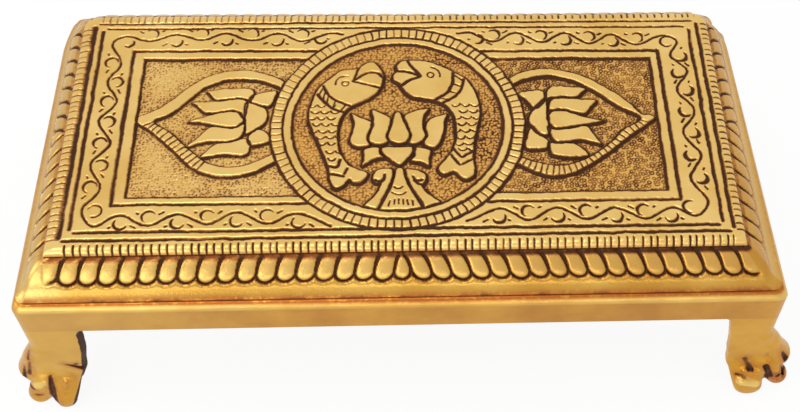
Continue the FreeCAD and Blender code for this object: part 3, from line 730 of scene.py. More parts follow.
fade = soft_noise(PLACE_X.shape, (60, 22), (0.6, 0.45))
patches = ease(0.5 + 0.5 * soft_noise(PLACE_X.shape, (36, 14, 6), (0.7, 0.5, 0.3)))
in_ring = inside_medallion < OVERLAP
beside_ring = (ring_radius > RING_OUTER - OVERLAP) & (panel < OVERLAP)
outline_distance = np.full(PLACE_X.shape, FAR)
for visible, fields in ((in_ring, [fish_field, *lotus_fields]), (beside_ring, side_fields + leaf_fields)):
    nearest = np.minimum(outline_distance, np.abs(fields).min(0))
    outline_distance = np.where(visible, nearest, outline_distance)
ring_distance = np.minimum.reduce([
    np.abs(ring_radius - RING_OUTER - 0.2),
    np.abs(ring_radius - RING_GROOVE),
    np.abs(ring_radius - RING_INNER),
])
off_medallion = ring_radius > RING_OUTER + 0.4
panel_edge = np.where(off_medallion, np.abs(panel + 0.2), FAR)
frame_cuts = np.maximum.reduce([struck([line], *size) for line, size in zip(panel_lines, PANEL_STROKES)])
rim_strokes = OUTER_STROKES + INNER_STROKES
rim_cuts = np.maximum.reduce([struck([line], *size) for line, size in zip(rim_lines, rim_strokes)])

notch_phase = np.abs((ring_turn / (2 * math.pi) * RING_NOTCHES) % 1.0 - 0.5)
notch_run = notch_phase * 2 * math.pi * ring_radius / RING_NOTCHES
ring_notches = np.where((ring_radius > RING_GROOVE + 0.2) & (ring_radius < RING_OUTER), notch_run, FAR)
notch_weights = 0.55 + 0.45 * chance.random(RING_NOTCHES)
notch_number = np.floor(ring_turn / (2 * math.pi) * RING_NOTCHES).astype(int) % RING_NOTCHES
lower_right = 0.5 + 0.5 * np.cos(ring_turn + 0.7)
notch_weight = notch_weights[notch_number] * (0.72 + 0.28 * lower_right)

motifs = np.where(ring_radius < RING_OUTER, medal_motifs, side_motifs)
# outlines are drawn wider and darker on their lower side, as a painted shadow
lower_side_shadow = np.clip(-np.gradient(motifs, axis=0) / CELL, -1.0, 1.0)
heavier = (0.68 + 0.4 * ease((PLACE_X + 62.0) / 50.0)) * (1.0 + 0.22 * lower_side_shadow)
strokes = np.maximum.reduce([
    cut(np.maximum(outline_distance + ragged, 0.0), OUTLINE_WIDTH * heavier),
    struck(fish_strokes + LOTUS_STROKES, OUTLINE_WIDTH),
    cut(np.maximum(ring_distance + ragged, 0.0), OUTLINE_WIDTH * (0.78 + 0.34 * lower_right)),
    cut(np.maximum(panel_edge + ragged, 0.0), OUTLINE_WIDTH),
    frame_cuts * off_medallion,
    rim_cuts,
    struck(vines, VINE_WIDTH),
    gouged(curl_gouges),
    struck(leaf_ticks, TICK_WIDTH, TICK_WEIGHT),
    struck(thin_strokes, THIN_WIDTH, THIN_WEIGHT),
    notch_weight * cut(ring_notches, NOTCH_WIDTH),
])
print("cut share", round(float((strokes > 0.5).mean()), 3))

# %% [markdown]
# ## The punched ground
# The ground is matted with a punch, struck close together by eye. In the medallion the blows leave bright
# grains with dark gaps between them. On the left they are fine specks, and on the right the punch was a
# ring, so round marks can be counted there. Distances to scattered middles give all three.

# %% Strike the punch marks
GRAIN_PITCH = 1.05
SPECK_PITCH = 0.95
RING_PITCH = 1.55
JITTER = 0.36
GRAIN_RADIUS = 0.33
GRAIN_EDGE = 0.2
SPECK_RADIUS = 0.45
PUNCH_RING_RADIUS = 0.55
PUNCH_RING_WIDTH = 0.34


def scattered(pitch):
    """Distance to the nearest of many scattered middles, and that middle's own random share."""
    column, row = np.floor(BENT_X / pitch).astype(int), np.floor(BENT_Y / pitch).astype(int)
    reach = int(max(abs(column).max(), abs(row).max())) + 2
    jitter = 0.5 + JITTER * (2 * chance.random((2 * reach + 1, 2 * reach + 1, 2)) - 1)
    own = chance.random((2 * reach + 1, 2 * reach + 1))
    best, share = np.full(PLACE_X.shape, 9.0), np.zeros(PLACE_X.shape)
    for right in (-1, 0, 1):
        for up in (-1, 0, 1):
            at = column + right, row + up
            number = at[0] + reach, at[1] + reach
            middle_x = (at[0] + jitter[number + (0,)]) * pitch
            middle_y = (at[1] + jitter[number + (1,)]) * pitch
            away = np.hypot(BENT_X - middle_x, BENT_Y - middle_y)
            share = np.where(away < best, own[number], share)
            best = np.minimum(best, away)
    return best, share


grain_away, grain_own = scattered(GRAIN_PITCH)
speck_away, speck_own = scattered(SPECK_PITCH)
ring_away, ring_own = scattered(RING_PITCH)
grains = ease((grain_away - GRAIN_RADIUS) / GRAIN_EDGE) * (0.6 + 0.4 * grain_own)
specks = ease(1.25 - speck_away / SPECK_RADIUS) * (0.35 + 0.65 * ease((speck_own - 0.1) / 0.5))
off_punch_ring = np.abs(ring_away - PUNCH_RING_RADIUS)
rings = ease(1.2 - off_punch_ring / PUNCH_RING_WIDTH) * (0.6 + 0.4 * ring_own)
in_medallion = ring_radius < RING_OUTER
punches = ground * np.where(in_medallion, grains, np.where(PLACE_X < 0, specks, rings))
print("punched", round(float((punches > 0.4).mean()), 3))

# %% [markdown]
# ## The notched rim
# Outside the two border lines the plaque rounds over to its edge. That narrow band is notched across at
# every few millimetres, by hand, so no two notches are quite alike, and they are bolder on some sides.

# %% Notch the rim
RIM_RUN = 2.3
RIM_DROP = 2.3
NOTCH_PITCH = 2.5
NOTCH_START = 2.6
NOTCH_STOP = 2.0
NOTCH_SCATTER = 0.2
RIM_NOTCH_WIDTH = 0.72
NOTCH_BAND = 3.4
NOTCH_RUNOUT = 0.7
PLAIN_CORNER = 4.4
FRONT_WEIGHT = 1.2
LEFT_WEIGHT = 0.7
BACK_WEIGHTS = ((-110.0, -20.0, 60.0), (0.45, 0.7, 1.0))

from_edge_x = PLAQUE_HALF_X - np.abs(PLACE_X)
from_edge_y = PLAQUE_HALF_Y - np.abs(PLACE_Y)
from_edge = np.minimum(from_edge_x, from_edge_y)
rim_share = np.clip(1.0 - from_edge / RIM_RUN, 0.0, 1.0)
rim_fall = RIM_DROP * (1.0 - np.sqrt(np.clip(1.0 - rim_share**2, 0.0, 1.0)))


def notch_places(half):
    """Where the notches fall along one side."""
    places = np.arange(-half + NOTCH_START, half - NOTCH_STOP, NOTCH_PITCH)
    places = places + chance.normal(0.0, NOTCH_SCATTER, len(places))
    return places, 0.5 + 0.5 * chance.random(len(places)) ** 0.7


def notch_band(along, half):
    """Notches across the rim, as a cut share, by the place along one side."""
    places, weights = notch_places(half)
    field = np.zeros(along.shape)
    for place, weight in zip(places, weights):
        field = np.maximum(field, weight * cut(np.abs(along - place), RIM_NOTCH_WIDTH))
    return field


on_long_side = from_edge_y < from_edge_x
front_notches = np.minimum(FRONT_WEIGHT * notch_band(LINE_X, PLAQUE_HALF_X), 1.0)
back_notches = notch_band(LINE_X, PLAQUE_HALF_X) * np.interp(LINE_X, *BACK_WEIGHTS)
left_notches = LEFT_WEIGHT * notch_band(LINE_Y, PLAQUE_HALF_Y)
right_notches = notch_band(LINE_Y, PLAQUE_HALF_Y)
long_notches = np.where(PLACE_Y < 0, front_notches[None, :], back_notches[None, :])
short_notches = np.where(PLACE_X < 0, left_notches[:, None], right_notches[:, None])
rim_notches = np.where(on_long_side, long_notches, short_notches)
rim_notches = rim_notches * ease((NOTCH_BAND - from_edge) / NOTCH_RUNOUT)
near_corner = (from_edge_x < PLAIN_CORNER) & (from_edge_y < PLAIN_CORNER)
rim_notches = np.where(near_corner, 0.0, rim_notches)
print("rim notches", round(float((rim_notches > 0.4).mean()), 4))

# %% [markdown]
# ## A rim that isn't ruler-straight
# The plaque was cut out and filed by eye. Its rim stands a little further out at the left end and at the
# left of the back, and its two back corners are round, the right one most. The castings below were filed
# round with it, so both rules are written once here, as moves of points, and used for every casting.

# %% Draw the rim off its line
RIM_START = 2.4
RIM_LEFT_OUT = 2.2
RIM_BACK_OUT = 1.4
BACK_OUT_FROM = 35.0
BACK_OUT_OVER = 115.0
BACK_OUT_CURVE = 0.7
RIM_CORNER_LEFT = 4.0
RIM_CORNER_RIGHT = 6.0
ROUND_REACH = 17.0
ROUND_LEFT = 0.38
ROUND_RIGHT = 0.85


def rim_drawn_out(x, y):
    """How far the hand-cut rim lies off its line: out at the left and back, in at the back corners."""
    left = np.clip((-x - PLAQUE_HALF_X + RIM_START) / RIM_START, 0.0, 1.0)
    back = np.clip((y - PLAQUE_HALF_Y + RIM_START) / RIM_START, 0.0, 1.0)
    left_part = np.clip((BACK_OUT_FROM - x) / BACK_OUT_OVER, 0.0, 1.0) ** BACK_OUT_CURVE
    corner = np.where(x > 0, RIM_CORNER_RIGHT, RIM_CORNER_LEFT)
    u = np.clip((np.abs(x) - PLAQUE_HALF_X) / corner + 1.0, 0.0, 1.0)
    v = np.clip((y - PLAQUE_HALF_Y) / corner + 1.0, 0.0, 1.0)
    in_x = corner * u * (1.0 - np.sqrt(1.0 - 0.5 * v**2))
    in_y = corner * v * (1.0 - np.sqrt(1.0 - 0.5 * u**2))
    return -RIM_LEFT_OUT * left - np.sign(x) * in_x, RIM_BACK_OUT * back * left_part - in_y


def back_corners_rounded(x, y, share):
    """Places with the two back corners filed round; a share of 0 leaves them square."""
    u = np.clip((np.abs(x) - OUTER_HALF_X + ROUND_REACH) / ROUND_REACH, 0.0, None)
    v = np.clip((y - OUTER_HALF_Y + ROUND_REACH) / ROUND_REACH, 0.0, None)
    rounding = np.where(x > 0, ROUND_RIGHT, ROUND_LEFT) * share
    factor = (np.maximum(u, v) / np.maximum(np.hypot(u, v), 1e-6)) ** rounding
    pull = np.where((u > 0) & (v > 0), 1.0 - factor, 0.0) * ROUND_REACH
    return x - np.sign(x) * pull * u, y - pull * v


moved = np.array(rim_drawn_out(-PLAQUE_HALF_X, PLAQUE_HALF_Y)).round(2)
print("the rim's left back corner moves by", moved)

# %% [markdown]
# ## The plaque's skin
# The depths are added up, the dark marks worked out beside them, and the grid closed with a wall and an
# underside. The underside is a rough cast flat, so it gets a coarser grid of its own, joined at the wall.

# %% Add up the depths
GROUND_DEPTH = 0.85
CUT_DEPTH = 0.6
CUT_IN_GROUND = 0.75
PUNCH_DEPTH = 0.22
NOTCH_DEPTH = 0.5
HAMMER_DEPTH = 0.035
LEAST_THICK = 0.6


def blur(field, times):
    """Each place averaged with its four neighbours, a few times over."""
    for _ in range(times):
        padded = np.pad(field, 1, mode="edge")
        beside = padded[:-2, 1:-1] + padded[2:, 1:-1] + padded[1:-1, :-2] + padded[1:-1, 2:]
        field = 0.5 * field + 0.125 * beside
    return field


hammer = soft_noise(PLACE_X.shape, (48, 20, 9), (0.5, 0.35, 0.15))
depth = GROUND_DEPTH * ground
depth = np.maximum(depth, depth * CUT_IN_GROUND + CUT_DEPTH * strokes)
depth = depth + PUNCH_DEPTH * punches
depth = depth + NOTCH_DEPTH * rim_notches
depth = blur(depth, 1) + rim_fall
depth = depth + HAMMER_DEPTH * hammer - HAMMER_DEPTH * hammer.min()
height = TOP - np.clip(depth, 0.0, PLAQUE_THICK - LEAST_THICK)
print("deepest cut", round(float(TOP - height.min()), 2), "mm")

# %% [markdown]
# ## Where the patina stays
# Dark patina stays in the cuts, at the foot of each wall and between the punch marks, and heavier to the
# right; on the lower side of each outline it is drawn heavier still, as a painted shadow. The brown stain
# spreads thinly round the cuts and in patches of the ground.

# %% Mark the plaque's patina
FOOT_RUN = 1.3
EDGE_RUN = 7.0

wall = 4.0 * ground * (1.0 - ground)
from_wall = np.minimum.reduce([
    np.where(in_medallion, np.minimum(-inside_medallion, medal_motifs), FAR),
    np.where(in_medallion, FAR, np.minimum(np.minimum(-panel, side_motifs), ring_radius - RING_OUTER)),
])
foot = ground * ease(1.0 - (from_wall + ragged) / FOOT_RUN)
toward_wall = ease(1.0 - from_wall / EDGE_RUN)
left_contrast = 0.3 + 0.16 * patches + 0.4 * toward_wall
right_contrast = 0.6 + 0.24 * patches + 0.2 * toward_wall
contrast = np.where(PLACE_X < 0, left_contrast, right_contrast)
medal_contrast = 0.5 + 0.34 * patches + 0.16 * toward_wall
medal_contrast = medal_contrast * (0.82 + 0.22 * ease((PLACE_X + 28.0) / 40.0))
contrast = np.where(in_medallion, medal_contrast, contrast)
darker_right = 1.15 + 0.35 * ease((PLACE_X + 90.0) / 90.0)
recess = np.clip(darker_right * strokes * (0.92 + 0.22 * fade), 0.0, 1.0)
recess = np.maximum(recess, np.clip(contrast * punches, 0.0, 1.0))
recess = np.maximum(recess, np.clip(1.15 * rim_notches, 0.0, 1.0))
# walls and feet are darker where heavier holds the painted shadow on the outlines' lower sides
recess = np.maximum(recess, 0.9 * wall * heavier)
recess = np.maximum(recess, 0.95 * foot * heavier)
medal_tone = medal_ground + 0.25 * side_ground + 0.55 * side_ground * (PLACE_X > 0)
streaks = np.clip(0.5 * blur(strokes, 3) - 0.04, 0.0, 0.3)
streaks = np.maximum(streaks, 0.5 * ease((0.4 - from_edge) / 0.4))
streaks = np.maximum(streaks, ground * (0.3 * patches * toward_wall + 0.1 * in_medallion))
print("dark share", round(float((recess > 0.5).mean()), 3))

# %% [markdown]
# ## Closing the plaque
# The grid is only a top. A wall goes down from its edge, tucked in at the foot for the stained seam, and an
# underside of larger faces closes it. Where a coarse face meets the wall it takes in all of the wall's
# points, so that no gap is left. Six bosses stand under it for the screws.

# %% Build the plaque
SEAM_UNDERCUT = 0.5
SEAM_HEIGHT = 0.75
SEAM_BAND = 0.15
SEAM_STAIN = 0.95
SKIRT_MARKS = {"recess": 0.15, "stain": 0.25, "ground": 0.4}


def plaque_shell():
    """Top, wall and underside of the plaque as one closed skin."""
    rows, columns = PLACE_X.shape
    top_points = np.stack([PLACE_X, PLACE_Y, height], -1).reshape(-1, 3)
    number = np.arange(rows * columns).reshape(rows, columns)
    quads = np.stack([number[:-1, :-1], number[:-1, 1:], number[1:, 1:], number[1:, :-1]], -1)
    ring = np.concatenate([number[0, :-1], number[:-1, -1], number[-1, :0:-1], number[:0:-1, 0]])
    count = len(ring)
    inner = 1.0 - SEAM_UNDERCUT / np.array([PLAQUE_HALF_X, PLAQUE_HALF_Y])
    edge = top_points[ring]
    middle = np.stack([edge[:, 0], edge[:, 1], np.full(count, PLAQUE_BASE + SEAM_HEIGHT)], 1)
    tucked = np.stack([edge[:, 0] * inner[0], edge[:, 1] * inner[1], middle[:, 2] - SEAM_BAND], 1)
    foot = tucked.copy()
    foot[:, 2] = PLAQUE_BASE
    walls = [ring]
    points, faces = [top_points], quads.reshape(-1, 4).tolist()
    start = len(top_points)
    for level in (middle, tucked, foot):
        points.append(level)
        walls.append(np.arange(start, start + count))
        start += count
    for upper, lower in zip(walls[:-1], walls[1:]):
        faces += np.stack([np.roll(upper, -1), upper, lower, np.roll(lower, -1)], -1).tolist()
    bottom_rows = list(range(0, rows, BOTTOM_SKIP))
    bottom_columns = list(range(0, columns, BOTTOM_SKIP))
    place_in_ring = {int(v): k for k, v in enumerate(ring)}
    low_number = {}
    low_points = []
    for row in bottom_rows:
        for column in bottom_columns:
            corner = int(number[row, column])
            if corner in place_in_ring:
                low_number[row, column] = int(walls[-1][place_in_ring[corner]])
                continue
            low_number[row, column] = start + len(low_points)
            rough = PLAQUE_BASE + 0.12 + 0.1 * math.sin(row * 0.7) * math.cos(column * 0.45)
            low_points.append((LINE_X[column] * inner[0], LINE_Y[row] * inner[1], rough))
    points.append(np.array(low_points))

    def along_edge(first, second):
        """The wall's own points from one coarse corner to the next, both ends included."""
        (row_a, column_a), (row_b, column_b) = first, second
        steps = max(abs(row_b - row_a), abs(column_b - column_a))
        on_long_edge = row_a == row_b and row_a in (0, rows - 1)
        on_short_edge = column_a == column_b and column_a in (0, columns - 1)
        if not (on_long_edge or on_short_edge):
            return [low_number[first], low_number[second]]
        line = []
        for step in range(steps + 1):
            row = row_a + (row_b - row_a) * step // steps
            column = column_a + (column_b - column_a) * step // steps
            line.append(int(walls[-1][place_in_ring[int(number[row, column])]]))
        return line

    for row_a, row_b in zip(bottom_rows[:-1], bottom_rows[1:]):
        for column_a, column_b in zip(bottom_columns[:-1], bottom_columns[1:]):
            corners_round = [(row_a, column_a), (row_b, column_a), (row_b, column_b), (row_a, column_b)]
            face = []
            for first, second in zip(corners_round, corners_round[1:] + corners_round[:1]):
                face += along_edge(first, second)[:-1]
            faces.append(face)
    points = np.vstack(points)
    points[:, :2] += np.stack(rim_drawn_out(points[:, 0], points[:, 1]), 1)
    points[:, :2] = np.stack(back_corners_rounded(points[:, 0], points[:, 1], 1.0), 1)
    skirt = len(points) - len(top_points)
    marks = {
        mark: np.concatenate([field.reshape(-1), np.full(skirt, SKIRT_MARKS[mark])])
        for mark, field in (("recess", recess), ("stain", streaks), ("ground", medal_tone))
    }
    marks["stain"][len(top_points):len(top_points) + 3 * count] = SEAM_STAIN
    return points, faces, marks


BOSS_RADIUS = 4.0
BOSS_HEIGHT = 2.0
BOSS_SUNK = 0.6
BOSS_SIDES = 32
BOSS_INSET = 19.0
BOSS_END = 32.0
BOSS_MARKS = {"recess": 0.1, "stain": 0.2, "ground": 0.4}


def boss(x, y):
    """A plain round boss that takes a screw, as a closed shell sunk a little into the plaque."""
    sides = BOSS_SIDES
    turn = np.linspace(0, 2 * math.pi, sides, endpoint=False)
    circle = np.stack([x + BOSS_RADIUS * np.cos(turn), y + BOSS_RADIUS * np.sin(turn)], 1)
    levels = (PLAQUE_BASE - BOSS_HEIGHT, PLAQUE_BASE + BOSS_SUNK)
    points = np.vstack([np.column_stack([circle, np.full(sides, z)]) for z in levels])
    faces = [(k, (k + 1) % sides, sides + (k + 1) % sides, sides + k) for k in range(sides)]
    faces += [tuple(range(sides))[::-1], tuple(range(sides, 2 * sides))]
    return points, faces, {mark: np.full(2 * sides, value) for mark, value in BOSS_MARKS.items()}


boss_y = OUTER_HALF_Y - BOSS_INSET
boss_x = OUTER_HALF_X - BOSS_END
shells = [plaque_shell()]
for x in (-boss_x, 0.0, boss_x):
    for y in (-boss_y, boss_y):
        shells.append(boss(x, y))
plaque = piece_from("chased_plaque", *join_shells(shells))

# %% [markdown]
# ## The moulding
# The moulding is one profile carried round a rectangle, the way a plasterer runs a cornice. The profile is
# given as steps outward and down from the plaque's foot, and its corners are mitred, with only a little
# rounding. Near a corner the profile's places fan out, so that even the ledge's inner corner keeps its
# shape. The gadroons are pressed into its upper face afterwards, by moving the skin along its own normal.

# %% Profile run round a rectangle
FAN = 17.5
FAN_STRETCH = 1.2
ARC_STEPS = 7


def run_round(profile, half_x, half_y, spacing):
    """A skin of [place, profile step] points round a rectangle, and what is known of each place.

    A profile step is (outward, height, corner radius). What is known of a place is the side that it is on
    and whether it lies on the corner's arc."""
    outward, heights, radius = np.array(profile).T
    places, facts = [], []
    sides = [((1, 0), (0, -1), half_x, half_y), ((0, 1), (1, 0), half_y, half_x),
             ((-1, 0), (0, 1), half_x, half_y), ((0, -1), (-1, 0), half_y, half_x)]
    for side, (along, normal, half_along, half_across) in enumerate(sides):
        along, normal = np.array(along, float), np.array(normal, float)
        straight = half_along - FAN
        end = half_along + outward - radius
        across = half_across + outward

        def lay(coordinate, offset, on_arc):
            flat = coordinate[:, None] * along + offset[:, None] * normal
            places.append(np.column_stack([flat, heights]))
            facts.append((side, float(on_arc)))

        fan_steps = int(round((FAN + outward.max()) / spacing / FAN_STRETCH))
        straight_steps = int(round(2 * straight / spacing))
        for share in np.linspace(1, 0, fan_steps, endpoint=False):
            lay(-(straight + share * (end - straight)), across, False)
        for coordinate in np.linspace(-straight, straight, straight_steps, endpoint=False):
            lay(np.full(len(outward), coordinate), across, False)
        for share in np.linspace(0, 1, fan_steps, endpoint=False):
            lay(straight + share * (end - straight), across, False)
        for share in np.linspace(0, 1, ARC_STEPS, endpoint=False):
            turn = 0.5 * math.pi * share
            lay(end + radius * math.sin(turn), across - radius + radius * math.cos(turn), True)
    return np.array(places), np.array(facts)


def closed_faces(places, steps):
    """Quads of a skin closed both round the rectangle and round the profile."""
    number = np.arange(places * steps).reshape(places, steps)
    ahead = np.roll(number, -1, 0)
    faces = np.stack([number, ahead, np.roll(ahead, -1, 1), np.roll(number, -1, 1)], -1)
    return faces.reshape(-1, 4).tolist()


def with_radius(line, inner_radius, outer_radius, reach):
    """A profile whose corner radius grows with the distance outward."""
    return [(out, height, inner_radius + (outer_radius - inner_radius) * min(max(out / reach, 0.0), 1.0))
            for out, height in line]


def even_profile(corner_points, spacing):
    """Corner points joined by straight runs, divided into even steps."""
    line = []
    for start, end in zip(corner_points[:-1], corner_points[1:]):
        steps = max(1, int(round(np.hypot(end[0] - start[0], end[1] - start[1]) / spacing)))
        line += [tuple(a + (b - a) * s / steps for a, b in zip(start, end)) for s in range(steps)]
    return line + [corner_points[-1]]


def bowed(start, end, bulge, steps):
    """An arc-like run from start to end that stands out by bulge in its middle."""
    run = np.array(end) - start
    side = np.array([run[1], -run[0]]) / np.hypot(*run)
    if side[0] < 0:
        side = -side
    shares = np.linspace(0, 1, steps)
    return [tuple(np.array(start) + run * s + side * bulge * 4 * s * (1 - s)) for s in shares]


print("profile helpers ready")

# %% [markdown]
# ## Not quite square
# The real castings were filed by hand, and their ends aren't square with one another. Seen from above, the
# right end stands out a little at the front and draws in at the back. That shift dies away towards the
# plaque, where the rim's own rule takes over, and the back corners are filed round in one with the rim. Low
# on the apron and the legs it fades out, so that the screws and tongues stay where they are.

# %% Let the castings settle
RIGHT_FRONT_OUT = 1.8
RIGHT_BACK_IN = 3.2
LEFT_FRONT_OUT = 1.0
BACK_LEFT_OUT = 1.3
PLAQUE_MARGIN = 1.0
ABOVE_FROM = 50.0
ABOVE_RUN = 9.0
FOOT_SHARE = 0.15
LOW_FROM = 20.0
LOW_RUN = 12.0


def outward_share(distance, half_plaque, half_outer):
    """How far a place lies from the plaque's edge (0) to the apron's face (1)."""
    inner = half_plaque + PLAQUE_MARGIN
    return np.clip((distance - inner) / (half_outer - inner), 0.0, 1.0)


def settled(points):
    """Points in millimetres, moved as the real castings are out of square."""
    x, y, z = np.asarray(points, float).T
    front = np.clip(0.5 - 0.5 * y / OUTER_HALF_Y, 0.0, 1.0)
    side = np.sign(x)
    outer = outward_share(np.abs(x), PLAQUE_HALF_X, OUTER_HALF_X)
    above = ease((z - ABOVE_FROM) / ABOVE_RUN)
    low = FOOT_SHARE + (1.0 - FOOT_SHARE) * ease((z - LOW_FROM) / LOW_RUN)
    right = RIGHT_FRONT_OUT * front * low - RIGHT_BACK_IN * (1.0 - front) * above
    moved_x = x + side * outer * np.where(x > 0, right, LEFT_FRONT_OUT * front * low)
    back = outward_share(y, PLAQUE_HALF_Y, OUTER_HALF_Y)
    moved_y = y + BACK_LEFT_OUT * back * above * np.clip(-x / OUTER_HALF_X, 0.0, 1.0) ** 0.5
    rim_x, rim_y = rim_drawn_out(x, y)
    moved_x = moved_x + rim_x * (1.0 - outer) * above
    moved_y = moved_y + rim_y * (1.0 - back) * above
    return np.column_stack([*back_corners_rounded(moved_x, moved_y, above), z])


def ring_casting(name, skin, recess_mark, stain_mark, tone_mark):
    """A casting run round the table, settled, with a mark for every place of its skin."""
    fields = {"recess": recess_mark, "stain": stain_mark, "ground": tone_mark}
    marks = {mark: field.reshape(-1) for mark, field in fields.items()}
    return piece_from(name, settled(skin.reshape(-1, 3)), closed_faces(*skin.shape[:2]), marks)


print("a right back corner settles to", settled([(OUTER_HALF_X, OUTER_HALF_Y, MOULDING_BASE)]).round(2))

# %% Build the moulding
# the profile steps out from the plaque's edge; heights are above the floor
CORNER_RADIUS = 3.2
INNER_CORNER_RADIUS = 1.5
LEDGE_SHOW = 0.9
BAND_INSET = 5.4
BAND_OUT = OUTER_HALF_X - BAND_INSET - PLAQUE_HALF_X
BAND_DROP = 6.5
BAND_BULGE = 0.8
COVE_INSET = 2.0
COVE_OUT = OUTER_HALF_X - COVE_INSET - PLAQUE_HALF_X
COVE_HOLLOW = 0.35
GROOVE_DEPTH = 0.8
GROOVE_HEIGHT = 1.0
LIP_TUCK = 0.25
LIP_DROP = 0.3
GROOVE_ROOF_DROP = 0.45
SKIN_STEP = 0.4
BACK_STEP = 4.0
JOINT_GAP = 0.05
LEDGE_REACH = 24.5
LEDGE_THICK = 3.6
WALL_WIDTH = 13.0
BAND_STEPS = 26
COVE_STEPS = 11

band_foot = (BAND_OUT, PLAQUE_BASE - BAND_DROP)
cove_foot = (COVE_OUT, MOULDING_BASE + GROOVE_HEIGHT)
band = bowed((LEDGE_SHOW, PLAQUE_BASE), band_foot, BAND_BULGE, BAND_STEPS)
cove = bowed(band_foot, cove_foot, -COVE_HOLLOW, COVE_STEPS)[1:]
lip = [
    (COVE_OUT - LIP_TUCK, MOULDING_BASE + GROOVE_HEIGHT - LIP_DROP),
    (COVE_OUT - GROOVE_DEPTH, MOULDING_BASE + GROOVE_HEIGHT - GROOVE_ROOF_DROP),
    (COVE_OUT - GROOVE_DEPTH, MOULDING_BASE),
]
inner_wall = OUTER_HALF_X - WALL_WIDTH - PLAQUE_HALF_X
ledge_inner = OUTER_HALF_X - LEDGE_REACH - PLAQUE_HALF_X
back = even_profile(
    [
        (COVE_OUT - GROOVE_DEPTH, MOULDING_BASE),
        (inner_wall, MOULDING_BASE),
        (inner_wall, PLAQUE_BASE - LEDGE_THICK),
        (ledge_inner, PLAQUE_BASE - LEDGE_THICK),
        (ledge_inner, PLAQUE_BASE - JOINT_GAP),
        (LEDGE_SHOW, PLAQUE_BASE - JOINT_GAP),
    ],
    BACK_STEP,
)[1:-1]
moulding_profile = with_radius(band + cove + lip + back, INNER_CORNER_RADIUS, CORNER_RADIUS, COVE_OUT)
skin, track = run_round(moulding_profile, PLAQUE_HALF_X, PLAQUE_HALF_Y, SKIN_STEP)
print("moulding skin", skin.shape)

# %% [markdown]
# ## Pressing the gadroons
# Each tongue leans outward as it comes down, away from the middle of its side, and a small upright one sits
# at the middle. Its outline is a pill: a distance to a short line, so the cut keeps one width round the
# tongue's foot. A faint lip is thrown up outside the cut.

# %% Press the tongues
TONGUE_PITCH = 6.3
LEAN_LEFT = 2.7
LEAN_RIGHT = 3.9
TONGUE_RADIUS = 2.7
TONGUE_CUT = 0.95
TONGUE_DEPTH = 0.85
TONGUE_DOME = 0.38
MIDDLE_HALF = 0.5
TONGUE_END = 15.2
TONGUE_END_LEFT = 13.8
TONGUE_END_RIGHT = 9.4
FOOT_ROOM = 1.25
FOOT_SCATTER = 0.3
MIDDLE_RADIUS = (0.15, 2.4)
EDGE_FADE = 0.4
LIP_FADE = 0.5
LIP_HIGH = {"long": 0.22, "short": 0.05}
END_SOFTNESS = 0.85
LOW_PART = 0.62

band_run = np.concatenate([[0.0], np.cumsum(np.hypot(*np.diff(np.array(band + cove), axis=0).T))])
band_length = band_run[BAND_STEPS - 1]


def tongue_fields(along, half, run):
    """Cut share and dome share of the tongues, by place along a side and run down the band."""
    side = np.where(along >= 0, 1.0, -1.0)
    lean = np.where(along >= 0, LEAN_RIGHT, LEAN_LEFT) * np.clip(run / band_length, 0, 1) ** 0.6
    leaned = np.abs(along) - lean
    cell = np.floor((leaned - MIDDLE_HALF) / TONGUE_PITCH)
    middle = leaned < MIDDLE_HALF
    local = np.where(middle, along, (leaned - MIDDLE_HALF) - (cell + 0.5) * TONGUE_PITCH)
    seed = np.abs(np.sin((cell + 3.0) * 12.9898 + side * 4.1 + half) * 43758.5) % 1.0
    foot = band_length - TONGUE_RADIUS - FOOT_ROOM + FOOT_SCATTER * (seed - 0.5)
    radius = TONGUE_RADIUS * (0.95 + 0.07 * seed) * (1.0 - 0.12 * ease(1.0 - run / (0.6 * band_length)))
    radius = np.where(middle, np.clip(MIDDLE_HALF + lean - 0.55, *MIDDLE_RADIUS), radius)
    below = np.maximum(run - foot, 0.0)
    pill = np.hypot(local, below) / radius
    away = (pill - 1.0) * radius
    reach = TONGUE_CUT + 3.0 * ease((foot + 0.6 - run) / 1.2)
    cut_share = ease((away + 0.12) / EDGE_FADE) * ease((reach + 0.2 - away) / EDGE_FADE)
    cut_share = cut_share * np.where(run > foot, 0.7 + 0.3 * np.clip(seed * 2.2, 0.0, 1.0), 1.0)
    dome = np.sqrt(np.clip(1.0 - pill**2, 0.0, 1.0))
    lip_share = ease(1.0 - np.abs(away - TONGUE_CUT - 0.45) / LIP_FADE) * (run > foot)
    ends = ease((half + 1.0 - np.abs(along)) / 1.5)
    on_band = ease((band_length + 0.9 - run) / 0.6) * ease((run + 0.3) / 0.5)
    return cut_share * ends * on_band, dome * ends * on_band, lip_share * ends * on_band


